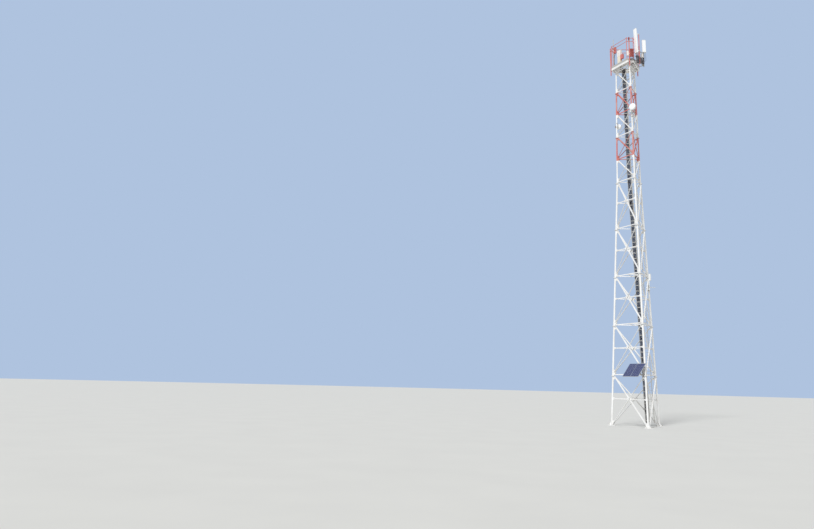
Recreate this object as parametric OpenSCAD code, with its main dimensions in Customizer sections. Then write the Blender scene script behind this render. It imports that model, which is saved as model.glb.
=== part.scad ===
// Cell tower: three tubular legs on base plates, angle bracing on the three faces,
// a climbing ladder and a cable ladder inside the back face, and a railed platform
// that carries panel antennas, radio units and poles. The origin is the centre of
// the underside of the front leg's base plate, +Z is up and the front leg is at -Y.

/* [Tower body] */
// Distance from the tower axis to a leg at the ground
base_r = 2156; // [1900:1:2400]
// Distance from the tower axis to a leg at the waist
waist_r = 1107; // [1000:1:1300]
// Distance from the tower axis to a leg under the platform
top_r = 891; // [820:1:980]
// Height of one lower bay
bay_h = 4000; // [3600:50:4400]
// Height of one upper panel
panel_h = 2000; // [1800:50:2200]

/* [Legs] */
// Diameter of a lower leg tube
lower_leg_d = 140; // [120:1:160]
// Diameter of an upper leg tube
upper_leg_d = 114; // [100:1:130]
// Diameter of the bolting flanges on the lower legs
lower_flange_d = 262; // [230:1:280]
// Diameter of the bolting flanges on the upper legs
upper_flange_d = 222; // [200:1:240]
// Thickness of one flange
flange_t = 26; // [16:1:32]
// Depth of a flange joint below the bracing level
flange_drop = 112; // [100:1:130]
// Thickness of the gusset plates
gusset_t = 12; // [8:1:16]
// Reach of a lower gusset from the leg axis
lower_reach = 250; // [230:1:300]
// Reach of an upper gusset from the leg axis
upper_reach = 200; // [190:1:240]

/* [Base plates] */
// Side of a base plate
plate_w = 480; // [460:5:560]
// Thickness of a base plate
plate_t = 40; // [25:1:50]
// Pitch circle of the anchor holes
anchor_pcd = 430; // [400:1:450]
// Diameter of an anchor hole
anchor_d = 42; // [30:1:48]
// Height of the stiffeners on a base plate
stiffener_h = 200; // [150:5:260]
// Thickness of the stiffeners
stiffener_t = 14; // [10:1:20]

/* [Bracing] */
// Leg width of the lower bracing angles
lower_bar = 80; // [65:1:90]
// Thickness of the lower bracing angles
lower_bar_t = 8; // [6:1:10]
// Leg width of the level angles of the lower part
level_bar = 60; // [50:1:70]
// Thickness of the level angles of the lower part
level_bar_t = 6; // [5:1:8]
// Leg width of the upper bracing angles
upper_bar = 60; // [50:1:70]
// Thickness of the upper bracing angles
upper_bar_t = 6; // [5:1:8]
// Distance from a lower joint to the end of a diagonal
lower_setback = 240; // [220:1:260]
// Distance from an upper joint to the end of a diagonal
upper_setback = 195; // [185:1:210]
// Gap between a leg tube and the end of a horizontal bar
bar_gap = 30; // [15:1:45]
// Levels that have a plan bracing triangle
plan_levels = 3; // [1:1:3]

/* [Ladders] */
// Distance from the right leg axis to the middle of the climbing ladder
climb_off = 600; // [560:1:640]
// Width of the climbing ladder over its stringers
climb_w = 400; // [360:1:420]
// Distance between two rungs
rung_pitch = 300; // [250:10:330]
// Diameter of a rung
rung_d = 22; // [18:1:26]
// Distance from the right leg axis to the middle of the cable ladder
cable_off = 970; // [950:1:1000]
// Width of the cable ladder over its side rails
cable_w = 300; // [280:1:320]
// Depth of the ladder stringers
stringer_h = 50; // [40:1:60]
// Width of the climbing ladder's stringer flanges
stringer_w = 50; // [40:1:55]
// Thickness of the climbing ladder's stringers
stringer_t = 8; // [6:1:10]
// Thickness of the cable ladder's side rails
cable_rail_t = 25; // [20:1:28]
// Distance from the back face to the outer edge of the stringers
ladder_gap = 150; // [130:1:170]
// Diameter of a feeder cable
feeder_d = 30; // [22:1:32]
// Number of feeder cables
feeders = 7; // [4:1:7]
// Distance between two cable clamps
clamp_pitch = 450; // [400:50:900]
// Height of a cable clamp
clamp_h = 60; // [40:5:70]

/* [Platform] */
// Distance from the tower axis to a long side of the platform
deck_a = 860; // [820:1:900]
// Distance from the tower axis to a cut corner of the platform
deck_rc = 1200; // [1150:1:1250]
// Height of the platform beams
beam_h = 160; // [140:1:180]
// Width of the platform beams
beam_w = 65; // [60:1:80]
// Wall of the platform beams
beam_t = 8; // [6:1:10]
// Height of the grating
grate_h = 30; // [25:1:40]
// Distance between two grating bars
grate_pitch = 80; // [60:1:100]
// Height of the kick plate above the grating
kick_h = 150; // [100:5:200]
// Thickness of the kick plate
kick_t = 6; // [4:1:8]
// Height of the upper rail above the platform beams' underside
rail_z = 2200; // [2000:10:2300]
// Distance between the two rails
rail_gap = 300; // [200:10:400]
// Diameter of the rails
rail_d = 42; // [34:1:44]
// Diameter of the rail posts
post_d = 60; // [54:1:70]
// Height of the radio pipe above the platform beams' underside
radio_pipe_z = 2770; // [2700:10:2850]
// Diameter of a corner pole
pole_d = 89; // [76:1:102]
// Length of a corner pole
pole_len = 2500; // [2450:10:2700]
// Gap between the platform edge and a corner pole
saddle = 60; // [40:5:90]
// How far a corner pole reaches below the platform
pole_drop = 360; // [250:10:400]

/* [Sector frame] */
// Azimuth that the sector frame faces
sector_az = 315; // [312:1:318]
// Distance from the tower axis to the antenna pipes
sector_r = 1300; // [1290:1:1340]
// Diameter of the antenna pipes
pipe_d = 76; // [60:1:80]
// Diameter of the frame's horizontal pipes
cross_d = 60; // [48:1:70]

/* [Antennas] */
// Height of the tall panel antenna
tall_h = 2180; // [2000:10:2300]
// Height of the short panel antenna
short_h = 1120; // [1000:10:1200]
// Downtilt of the tall panel antenna
tall_tilt = 2.5; // [0:0.5:3]
// Width of a panel antenna
panel_w = 300; // [260:1:320]
// Depth of a panel antenna
panel_d = 120; // [100:1:150]
// Diameter of the dish on the front leg
dish_d = 560; // [500:5:620]
// Diameter of the small dish on the left leg
small_dish_d = 460; // [420:5:500]
// Height of the side antenna on the right leg
side_ant_h = 560; // [500:5:620]

/* [Solar modules] */
// Width of one solar module
solar_w = 780; // [700:5:820]
// Length of one solar module
solar_len = 1300; // [1200:5:1400]
// Thickness of a solar module
solar_t = 40; // [30:1:50]
// Tilt of the solar modules
solar_tilt = 50; // [42:1:55]

/* [Hidden] */
$fn = 48;
eps = 1;
bays = 5;
panels = 5;
LEGS = [-90, 30, 150];
FACES = [90, 210, 330];
white = "whitesmoke";
red = "indianred";
steel = "darkgray";
dark = "dimgray";
waist_z = bays * bay_h;
top_z = waist_z + panels * panel_h;
// Drop of the highest bracing level below the leg tops
top_drop = 130;
cap_t = 16;
cap_w = 200;
// Lean of a leg in its own upright plane, and of a face
lower_lean = atan((base_r - waist_r) / waist_z);
upper_lean = atan((waist_r - top_r) / (top_z - waist_z));
lower_tilt = atan((base_r - waist_r) / 2 / waist_z);
upper_tilt = atan((waist_r - top_r) / 2 / (top_z - waist_z));
joint_z = waist_z - flange_drop;
base_half = base_r * cos(30);
waist_half = waist_r * cos(30);
top_half = top_r * cos(30);
lower_w = waist_z / cos(lower_tilt);
upper_w = (top_z - waist_z) / cos(upper_tilt);
// Angle between a leg and the middle line of a face, in the plane of the face
lower_splay = atan((base_half - waist_half) / lower_w);
upper_splay = atan((waist_half - top_half) / upper_w);

function lower_half(w) = base_half + (waist_half - base_half) * w / lower_w;
function upper_half(w) = waist_half + (top_half - waist_half) * w / upper_w;
function lower_level(k) = k * bay_h / cos(lower_tilt);
function upper_level(j) = (j * panel_h - (j == panels ? top_drop : 0)) / cos(upper_tilt);
function r_at(z) = z <= waist_z
    ? base_r + (waist_r - base_r) * z / waist_z
    : waist_r + (top_r - waist_r) * (z - waist_z) / (top_z - waist_z);
function toward(p, q, d) = p + (q - p) * d / norm(q - p);
function turned(p, a) = [p[0] * cos(a) - p[1] * sin(a), p[0] * sin(a) + p[1] * cos(a)];
// Height fraction at which the two diagonals of a bay cross
function crossing(h0, h1) = h0 / (h0 + h1);

// Frames of reference
module on_axis(z = 0) {
    translate([0, base_r, z]) children();
}

module on_lower_face(facing) {
    on_axis() rotate([0, 0, facing]) translate([base_r / 2, 0, 0])
        rotate([0, -lower_tilt, 0]) children();
}

module on_upper_face(facing) {
    on_axis(waist_z) rotate([0, 0, facing]) translate([waist_r / 2, 0, 0])
        rotate([0, -upper_tilt, 0]) children();
}

// Along the right leg in the back face: x outward, y toward the left leg, z up
module beside_lower_leg() {
    on_lower_face(90) translate([0, -base_half, 0]) rotate([-lower_splay, 0, 0]) children();
}

module beside_upper_leg() {
    on_upper_face(90) translate([0, -waist_half, 0]) rotate([-upper_splay, 0, 0]) children();
}

module along_lower_leg(leg) {
    on_axis() rotate([0, 0, leg]) translate([base_r, 0, 0])
        rotate([0, -lower_lean, 0]) children();
}

module along_upper_leg(leg) {
    on_axis(waist_z) rotate([0, 0, leg]) translate([waist_r, 0, 0])
        rotate([0, -upper_lean, 0]) children();
}

// Flat plate in the plane of a face, from a profile in (u, w)
module face_plate(t) {
    rotate([90, 0, 90]) translate([0, 0, -t / 2]) linear_extrude(t) children();
}

// Angle bar between two points of a face, its flat leg against the gussets
module angle_bar(p, q, b, t, side) {
    len = norm(q - p);
    n0 = side * gusset_t / 2;
    n1 = n0 + side * t;
    n2 = n0 + side * b;
    translate([0, p[0], p[1]])
        rotate([atan2(q[1] - p[1], q[0] - p[0]) - 90, 0, 0])
            linear_extrude(len)
                polygon([[n0, -b / 2], [n1, -b / 2], [n1, b / 2 - t],
                    [n2, b / 2 - t], [n2, b / 2], [n0, b / 2]]);
}

// Gusset on the leg at side * half, tapered toward the middle of the face
module gusset(side, half, lo, hi, cut_lo, cut_hi, reach) {
    face_plate(gusset_t)
        polygon([[side * half, lo], [side * (half - reach), lo + cut_lo],
            [side * (half - reach), hi - cut_hi], [side * half, hi]]);
}

// Upright and sloping tubes
module tube_between(p, q, d) {
    v = q - p;
    len = norm(v);
    translate(p) rotate([0, acos(v[2] / len), atan2(v[1], v[0])]) cylinder(d = d, h = len);
}

// Legs
module lower_gussets(side) {
    gusset(side, lower_half(lower_level(0) + 260), plate_t + 20, 430, 120, 100, lower_reach);
    for (k = [1 : bays]) {
        w = lower_level(k);
        half = lower_half(w);
        translate([0, 0, w]) gusset(side, half, -430, -flange_drop - 40, 100, 40, lower_reach);
        if (k < bays)
            translate([0, 0, w]) gusset(side, half, -60, 430, 0, 100, lower_reach);
    }
    for (k = [0 : bays - 1]) {
        w = lower_level(k) + bay_h * crossing(lower_half(lower_level(k)),
            lower_half(lower_level(k + 1))) / cos(lower_tilt);
        translate([0, 0, w]) gusset(side, lower_half(w), -110, 110, 50, 50, lower_reach - 40);
    }
}

module base_plate() {
    difference() {
        translate([-plate_w / 2, -plate_w / 2, 0]) cube([plate_w, plate_w, plate_t]);
        for (a = [45 : 90 : 315])
            rotate([0, 0, a]) translate([anchor_pcd / 2, 0, -eps])
                cylinder(d = anchor_d, h = plate_t + 2 * eps);
    }
    for (a = [0 : 90 : 270])
        rotate([90, 0, a]) translate([0, plate_t - eps, -stiffener_t / 2])
            linear_extrude(stiffener_t)
                polygon([[0, 0], [plate_w / 2 - 15, 0], [plate_w / 2 - 15, 25],
                    [lower_leg_d / 2 + 15, stiffener_h], [0, stiffener_h]]);
}

module leg_lower(leg) {
    color(white) union() {
        on_axis() rotate([0, 0, leg]) translate([base_r, 0, 0]) base_plate();
        intersection() {
            along_lower_leg(leg) translate([0, 0, -bay_h / 4])
                cylinder(d = lower_leg_d, h = lower_w + bay_h);
            translate([-2 * base_r, -base_r, plate_t / 2])
                cube([4 * base_r, 5 * base_r, joint_z - plate_t / 2]);
        }
        for (k = [1 : bays - 1])
            along_lower_leg(leg)
                translate([0, 0, (k * bay_h - flange_drop) / cos(lower_lean) - flange_t])
                    cylinder(d = lower_flange_d, h = 2 * flange_t);
        on_axis() rotate([0, 0, leg]) translate([r_at(joint_z), 0, joint_z - flange_t])
            cylinder(d = lower_flange_d, h = flange_t);
        on_lower_face(leg + 60) lower_gussets(-1);
        on_lower_face(leg - 60) lower_gussets(1);
    }
}

module upper_gussets(side) {
    for (j = [0 : panels]) {
        w = upper_level(j);
        half = upper_half(w);
        split = j % 2 == 0;
        translate([0, 0, w]) {
            if (split && j < panels)
                gusset(side, half, -50, 350, 0, 80, upper_reach);
            if (split && j > 0)
                gusset(side, half, -350, -flange_drop - 40, 80, 30, upper_reach);
            if (!split && j < panels)
                gusset(side, half, -350, 350, 80, 80, upper_reach);
            if (j == panels)
                gusset(side, half, -350, 50, 80, 0, upper_reach);
        }
    }
}

module leg_upper(leg) {
    color(red) union() {
        intersection() {
            along_upper_leg(leg) translate([0, 0, -panel_h / 2])
                cylinder(d = upper_leg_d, h = upper_w + 2 * panel_h);
            translate([-2 * base_r, -base_r, joint_z + flange_t / 2])
                cube([4 * base_r, 5 * base_r, top_z - joint_z - flange_t / 2 - cap_t / 2]);
        }
        on_axis() rotate([0, 0, leg]) translate([r_at(joint_z), 0, joint_z])
            cylinder(d = lower_flange_d, h = flange_t);
        for (j = [2, 4])
            along_upper_leg(leg)
                translate([0, 0, (j * panel_h - flange_drop) / cos(upper_lean) - flange_t])
                    cylinder(d = upper_flange_d, h = 2 * flange_t);
        on_axis() rotate([0, 0, leg]) translate([top_r - cap_w / 2, -cap_w / 2, top_z - cap_t])
            cube([cap_w, cap_w, cap_t]);
        on_upper_face(leg + 60) upper_gussets(-1);
        on_upper_face(leg - 60) upper_gussets(1);
    }
}

// Bracing of one face: diagonals on both sides of the gussets, joined where they cross
module crossed_panel(w0, h0, w1, h1, b, t, setback, plate) {
    angle_bar(toward([-h0, w0], [h1, w1], setback), toward([h1, w1], [-h0, w0], setback),
        b, t, 1);
    angle_bar(toward([h0, w0], [-h1, w1], setback), toward([-h1, w1], [h0, w0], setback),
        b, t, -1);
    translate([0, 0, w0 + (w1 - w0) * crossing(h0, h1)])
        face_plate(gusset_t + eps) square(plate, center = true);
}

module bracing_lower(facing) {
    color(white) on_lower_face(facing) {
        end_gap = lower_leg_d / 2 + bar_gap;
        for (k = [0 : bays - 1]) {
            w0 = lower_level(k);
            w1 = lower_level(k + 1);
            h0 = lower_half(w0);
            h1 = lower_half(w1);
            wx = w0 + (w1 - w0) * crossing(h0, h1);
            hx = lower_half(wx) - end_gap;
            crossed_panel(w0, h0, w1, h1, lower_bar, lower_bar_t, lower_setback, [440, 170]);
            angle_bar([-hx, wx], [-150, wx], level_bar, level_bar_t, -1);
            angle_bar([150, wx], [hx, wx], level_bar, level_bar_t, -1);
            if (k > 0)
                angle_bar([-h0 + end_gap, w0], [h0 - end_gap, w0], level_bar, level_bar_t, -1);
        }
    }
}

module bracing_upper(facing) {
    color(red) on_upper_face(facing) {
        end_gap = upper_leg_d / 2 + bar_gap;
        for (j = [0 : panels - 1]) {
            w0 = upper_level(j);
            w1 = upper_level(j + 1);
            h0 = upper_half(w0);
            h1 = upper_half(w1);
            crossed_panel(w0, h0, w1, h1, upper_bar, upper_bar_t, upper_setback, [130, 130]);
            angle_bar([-h0 + end_gap, w0], [h0 - end_gap, w0], upper_bar, upper_bar_t, -1);
            if (j == panels - 1)
                angle_bar([-h1 + end_gap, w1], [h1 - end_gap, w1], upper_bar, upper_bar_t, -1);
        }
    }
}

// Triangles that join the middles of the horizontals and keep the plan in shape
module plan_bracing() {
    seat = -level_bar / 2 + level_bar_t;
    plate_in = 190;
    color(white) for (k = [1 : plan_levels]) union() {
        w = lower_level(k);
        for (a = FACES)
            on_lower_face(a)
                translate([-gusset_t / 2 - level_bar_t - 2 - plate_in, -150, w + seat])
                    cube([plate_in, 300, 10]);
        for (a = FACES) {
            mid = r_at(k * bay_h) / 2 - 120;
            p = mid * [cos(a), sin(a)];
            q = mid * [cos(a + 120), sin(a + 120)];
            from = toward(p, q, 90);
            to = toward(q, p, 90);
            on_axis(k * bay_h + seat)
                translate([from[0], from[1], 0])
                    rotate([0, 0, atan2(to[1] - from[1], to[0] - from[0])]) {
                        translate([0, -30, 0]) cube([norm(to - from), 60, 6]);
                        translate([0, -30, 0]) cube([norm(to - from), 6, 60]);
                    }
        }
    }
}

// Climbing ladder's stringers: angles whose front flanges point inward, over the rungs' ends
module stringer(side) {
    y = side * climb_w / 2;
    front = -ladder_gap - stringer_h;
    polygon([[-ladder_gap, y], [front, y], [front, y - side * stringer_w],
        [front + stringer_t, y - side * stringer_w],
        [front + stringer_t, y - side * stringer_t], [-ladder_gap, y - side * stringer_t]]);
}

module climbing_rails(from, to) {
    translate([0, 0, from]) linear_extrude(to - from) for (side = [-1, 1]) stringer(side);
}

module cable_rails(from, to) {
    translate([-ladder_gap - stringer_h, 0, from]) linear_extrude(to - from)
        for (y = [-cable_w / 2, cable_w / 2 - cable_rail_t])
            translate([0, y]) square([stringer_h, cable_rail_t]);
}

module rungs(from, to) {
    for (z = [from : rung_pitch : to])
        translate([-ladder_gap - stringer_h / 2, -climb_w / 2 + stringer_t / 2, z])
            rotate([-90, 0, 0]) cylinder(d = rung_d, h = climb_w - stringer_t);
}

lower_run = norm([lower_w, base_half - waist_half]);
upper_run = norm([upper_w, waist_half - top_half]);
ladder_foot = 300;

module climbing_ladder() {
    color(steel) union() {
        beside_lower_leg() translate([0, climb_off, 0]) {
            climbing_rails(ladder_foot, lower_run + 20);
            rungs(ladder_foot + 150, lower_run - 100);
        }
        beside_upper_leg() translate([0, climb_off, 0]) {
            climbing_rails(-20, upper_run + beam_h + grate_h);
            rungs(150, upper_run + beam_h);
        }
    }
}

// Flat cross bars behind the cables, one behind each clamp
module cable_ties(from, to) {
    for (z = [from : clamp_pitch : to])
        translate([-ladder_gap - stringer_h, (cable_rail_t - cable_w) / 2, z - clamp_h / 2])
            cube([tie_t, cable_w - cable_rail_t, clamp_h]);
}

tie_t = 10;
cable_foot = 500;

module cable_ladder() {
    color(steel) union() {
        beside_lower_leg() translate([0, cable_off, 0]) {
            cable_rails(ladder_foot, lower_run + 20);
            cable_ties(cable_foot, lower_run - 200);
        }
        beside_upper_leg() translate([0, cable_off, 0]) {
            cable_rails(-20, upper_run + beam_h);
            cable_ties(200, upper_run);
        }
    }
}

feeder_pitch = (cable_w - 2 * cable_rail_t) / feeders;
cable_in = ladder_gap + stringer_h + feeder_d / 2;
// Sleeve over the joint of a cable's two runs, where the legs change their lean
sleeve_low = -45;
sleeve_h = 65;
joint_end = 10;

module feeder_cables() {
    color("black") for (i = [0 : feeders - 1]) {
        y = cable_off + (i - (feeders - 1) / 2) * feeder_pitch;
        union() {
            beside_lower_leg() translate([-cable_in, y, ladder_foot])
                cylinder(d = feeder_d, h = lower_run - ladder_foot + joint_end);
            beside_upper_leg() translate([-cable_in, y, 0]) {
                translate([0, 0, sleeve_low]) cylinder(d = feeder_d + 3, h = sleeve_h);
                translate([0, 0, -joint_end])
                    cylinder(d = feeder_d, h = upper_run + beam_h + grate_h + joint_end);
            }
        }
    }
}

// Straps that press the cables against the cross bars, with a foot on each side rail
module clamp_row(from, to) {
    for (z = [from : clamp_pitch : to])
        translate([-cable_in - feeder_d / 2 - strap_t, -cable_w / 2, z - clamp_h / 2]) {
            cube([strap_t, cable_w, clamp_h]);
            for (y = [0, cable_w - foot_w])
                translate([0, y, 5]) cube([strap_t + feeder_d, foot_w, clamp_h - 10]);
        }
}

strap_t = 8;
foot_w = 12;

module cable_clamps() {
    color(steel) {
        beside_lower_leg() translate([0, cable_off, 0]) clamp_row(cable_foot, lower_run - 200);
        beside_upper_leg() translate([0, cable_off, 0]) clamp_row(200, upper_run);
    }
}

// Flats that stand on a horizontal's flange at level w and hold the two stringers
module bracket_pair(off, width, w, splay, b, t) {
    out = gusset_t / 2 + t + 4;
    inner = ladder_gap + stringer_h;
    for (s = [-1, 1]) {
        y = off + s * (width / 2 + 4);
        translate([-inner, y - 4, (w + y * sin(splay)) / cos(splay) - b / 2 + t])
            cube([inner - out, 8, 50]);
    }
}

module ladder_brackets() {
    color(steel) {
        for (ladder = [[climb_off, climb_w], [cable_off, cable_w]]) {
            beside_lower_leg() for (k = [1 : bays - 1])
                bracket_pair(ladder[0], ladder[1], lower_level(k), lower_splay,
                    level_bar, level_bar_t);
            beside_upper_leg() for (j = [0 : panels])
                bracket_pair(ladder[0], ladder[1], upper_level(j), upper_splay,
                    upper_bar, upper_bar_t);
        }
    }
}

// Platform: a triangle with cut corners, long sides parallel to the tower's faces
function deck_outline(a, rc) =
    [for (g = LEGS) for (s = [-1, 1]) turned([rc, s * (a - rc / 2) / cos(30)], g)];
deck_side = (deck_rc - deck_a / 2) / cos(30);
edge_w = 80;
deck_z = top_z + beam_h;
hatch_x = [-370, 420];
hatch_y = [-300, 385];

// Plan of the beams: a channel round the edge, three beams over the leg tops and joists
module beam_plan(edge, w) {
    difference() {
        polygon(deck_outline(deck_a, deck_rc));
        polygon(deck_outline(deck_a - edge, deck_rc - edge));
    }
    intersection() {
        polygon(deck_outline(deck_a - edge / 2, deck_rc - edge / 2));
        for (a = FACES)
            rotate(a) {
                translate([(top_r - w) / 2, -deck_rc]) square([w, 2 * deck_rc]);
                for (u = [-deck_side / 4, deck_side / 4])
                    translate([top_r / 2, u - w / 2]) square([deck_a - top_r / 2, w]);
            }
    }
}

module platform_beams() {
    color(red) on_axis(top_z) {
        for (z = [0, beam_h - beam_t])
            translate([0, 0, z]) linear_extrude(beam_t) beam_plan(edge_w, beam_w);
        translate([0, 0, beam_t - eps]) linear_extrude(beam_h - 2 * beam_t + 2 * eps)
            beam_plan(beam_t, beam_t);
    }
}

// Grating: four panels round the opening for the ladders and cables
band = 6;
panel_gap = 4;
grate_in = kick_t + post_d;

// Plan of the panel between x and y limits, drawn in by a margin
module panel_plan(x, y, margin) {
    intersection() {
        polygon(deck_outline(deck_a - grate_in - margin, deck_rc - grate_in - margin));
        translate([x[0] + margin, y[0] + margin])
            square([x[1] - x[0] - 2 * margin, y[1] - y[0] - 2 * margin]);
    }
}

module grating_panel(x, y) {
    linear_extrude(grate_h) difference() {
        panel_plan(x, y, 0);
        difference() {
            panel_plan(x, y, band);
            for (i = [-16 : 16])
                translate([-deck_rc, i * grate_pitch - 2.5]) square([2 * deck_rc, 5]);
        }
    }
    translate([0, 0, grate_h / 2 - 4]) linear_extrude(8) intersection() {
        panel_plan(x, y, band / 2);
        for (i = [-5 : 5])
            translate([i * 200 - 4, -deck_rc]) square([8, 2 * deck_rc]);
    }
}

module platform_grating() {
    color("gray") on_axis(deck_z) {
        grating_panel([-deck_rc, hatch_x[0]], [-deck_rc, deck_a]);
        grating_panel([hatch_x[1], deck_rc], [-deck_rc, deck_a]);
        grating_panel([hatch_x[0] + panel_gap, hatch_x[1] - panel_gap], [-deck_rc, hatch_y[0]]);
        grating_panel([hatch_x[0] + panel_gap, hatch_x[1] - panel_gap], [hatch_y[1], deck_a]);
    }
}

module kick_plate() {
    color("gray") on_axis(deck_z) linear_extrude(grate_h + kick_h) difference() {
        polygon(deck_outline(deck_a, deck_rc));
        polygon(deck_outline(deck_a - kick_t, deck_rc - kick_t));
    }
}

rail_in = kick_t + post_d / 2;

// One rail round the deck: straight tubes that end inside the corner posts
module rail_loop(z) {
    points = deck_outline(deck_a - rail_in, deck_rc - rail_in);
    end_gap = rail_d * 0.3;
    for (i = [0 : len(points) - 1]) {
        p = [points[i][0], points[i][1], z];
        next = points[(i + 1) % len(points)];
        q = [next[0], next[1], z];
        tube_between(toward(p, q, end_gap), toward(q, p, end_gap), rail_d);
    }
}

module railing() {
    color(red) on_axis(top_z) {
        rail_loop(rail_z);
        rail_loop(rail_z - rail_gap);
        for (p = deck_outline(deck_a - rail_in, deck_rc - rail_in))
            translate([p[0], p[1], beam_h]) cylinder(d = post_d, h = rail_z + rail_d - beam_h);
    }
}

// Pole outside the platform edge at x = edge, on an arm from the edge beam and one from a rail
module outside_pole(edge, reach, d, from, to) {
    translate([edge + reach, 0, from]) cylinder(d = d, h = to - from);
    translate([edge, -arm_w / 2, beam_h / 2 - 50]) cube([reach, arm_w, 100]);
    difference() {
        translate([edge - rail_in, -arm_w / 2, rail_z - rail_gap - 40])
            cube([rail_in + reach, arm_w, 80]);
        translate([edge - rail_in, -arm_w, rail_z - rail_gap]) rotate([-90, 0, 0])
            cylinder(d = rail_d, h = 2 * arm_w);
    }
}

arm_w = 70;
pole_in = saddle + pole_d / 2;
front_shift = -110;
left_shift = 100;
lamp_h = 240;
// Height of the front pole's top, which carries the lamp, above the lower rail
lamp_over = 50;
lamp_z = rail_z - rail_gap + lamp_over;

module corner_pole(leg, shift, len) {
    color(red) on_axis(top_z) rotate([0, 0, leg]) translate([0, shift, 0])
        outside_pole(deck_rc, pole_in, pole_d, -pole_drop, len - pole_drop);
}

// Lamp on the front pole: flanged foot, glass and cap
module obstruction_lamp() {
    color("firebrick") on_axis(top_z) rotate([0, 0, -90])
        translate([deck_rc + pole_in, front_shift, lamp_z]) {
            cylinder(d = 120, h = 20);
            cylinder(d = 80, h = 90);
            translate([0, 0, 70]) cylinder(d = 130, h = 30);
            translate([0, 0, 90]) cylinder(d = 110, h = lamp_h - 130);
            translate([0, 0, lamp_h - 45]) cylinder(d = 126, h = 45);
        }
}

// Sector frame: horizontal pipes behind the antenna pipes, held by stand-off arms
low_cross_z = 80;
mid_cross_z = 420;
mid_cross_d = 44;
high_cross_z = 1150;
cross_r = sector_r - pipe_d / 2 - cross_d / 2;
// The platform side that carries the frame, and how far the frame is turned from it
side_az = 330;
skew = side_az - sector_az;
arm_s = [-800, -250, 300];
// Distance of the horizontal pipes from the tower axis at s along the platform side
function cross_n(s) = (cross_r + s * sin(skew)) / cos(skew);
function cross_t(s) = cross_n(s) * sin(skew) + s * cos(skew);
cross_from = -800;
high_from = -230;
cross_to = 680;
tall_t = -160;
short_t = 530;

module in_sector(t = 0, r = sector_r) {
    on_axis(top_z) rotate([0, 0, sector_az]) translate([r, t, 0]) children();
}

module cross_pipe(z, from, d) {
    in_sector(from, cross_r) translate([0, 0, z])
        rotate([-90, 0, 0]) cylinder(d = d, h = cross_to - from);
}

module sector_frame() {
    color(steel) {
        cross_pipe(low_cross_z, cross_from, cross_d);
        cross_pipe(mid_cross_z, cross_from, mid_cross_d);
        cross_pipe(high_cross_z, high_from, cross_d);
        in_sector(cross_t(arm_s[0]), cross_r) translate([0, 0, low_cross_z])
            cylinder(d = cross_d - 8, h = mid_cross_z + 50 - low_cross_z);
        for (s = [arm_s[1], arm_s[2]])
            in_sector(cross_t(s), cross_r) translate([0, 0, low_cross_z])
                cylinder(d = cross_d - 8, h = high_cross_z - low_cross_z);
        on_axis(top_z) rotate([0, 0, side_az]) for (s = arm_s) {
            translate([deck_a, s, low_cross_z]) rotate([0, 90, 0])
                cylinder(d = cross_d - 4, h = cross_n(s) - deck_a);
            translate([deck_a, s - 60, low_cross_z - 60]) cube([12, 120, 120]);
        }
    }
}

module upright_pipe(t, z0, z1, tint) {
    color(tint) in_sector(t) translate([0, 0, z0]) cylinder(d = pipe_d, h = z1 - z0);
}

module tall_antenna_pipe() {
    upright_pipe(tall_t, -100, tall_z + tall_h * top_bracket - 70, red);
}

module short_antenna_pipe() {
    upright_pipe(short_t, -100, short_z + short_h * top_bracket + 120, steel);
}

// Heights of an antenna's two brackets as shares of its height
low_bracket = 0.12;
top_bracket = 0.86;

// Panel antenna with a crowned front, leaning forward by tilt, two brackets and connectors
module panel_antenna(h, stand, tilt) {
    r = 35;
    back = stand + pipe_d / 2;
    translate([back, 0, 0]) rotate([0, tilt, 0]) {
        linear_extrude(h) {
            translate([0, -panel_w / 2]) square([panel_d - r, panel_w]);
            translate([0, -panel_w / 2 + r]) square([panel_d, panel_w - 2 * r]);
            for (s = [-1, 1])
                translate([panel_d - r, s * (panel_w / 2 - r)]) circle(r = r);
        }
        for (y = [-90, -30, 30, 90])
            translate([panel_d / 2, y, -45]) cylinder(d = 26, h = 46);
    }
    for (z = [h * low_bracket, h * (top_bracket - tilt / 50)])
        translate([-pipe_d / 2 - 12, -45, z - 30])
            difference() {
                cube([pipe_d / 2 + 12 + back + z * tan(tilt) + 8, 90, 60]);
                translate([12 + pipe_d / 2, 45, -eps]) cylinder(d = pipe_d, h = 60 + 2 * eps);
            }
}

tall_z = 850;
short_z = 1130;
tall_stand = 200;
short_stand = 90;

module tall_antenna() {
    color("white") in_sector(tall_t) rotate([0, 0, 205 - sector_az])
        translate([0, 0, tall_z]) panel_antenna(tall_h, tall_stand, tall_tilt);
}

module short_antenna() {
    color("white") in_sector(short_t) rotate([0, 0, 275 - sector_az])
        translate([0, 0, short_z]) panel_antenna(short_h, short_stand, 0);
}

// Finned radio unit: body at x = back, cooling fins in front of it
module radio_body(w, d, h, back) {
    translate([back, -w / 2, 0]) cube([d * 0.6, w, h]);
    for (i = [0 : 6])
        translate([back + d * 0.6 - eps, -w / 2 + i * (w - 8) / 6, h * 0.06])
            cube([d * 0.4, 8, h * 0.88]);
}

// Clamps round an upright pipe at the origin, from its back to x = reach
module pipe_clamps(d, reach, levels) {
    for (z = levels)
        translate([0, 0, z - 25]) difference() {
            translate([-d / 2 - 12, -d / 2 - 12, 0]) cube([d / 2 + 12 + reach, d + 24, 50]);
            translate([0, 0, -eps]) cylinder(d = d, h = 50 + 2 * eps);
        }
}

white_z = 700;
cream_z = 530;

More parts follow.
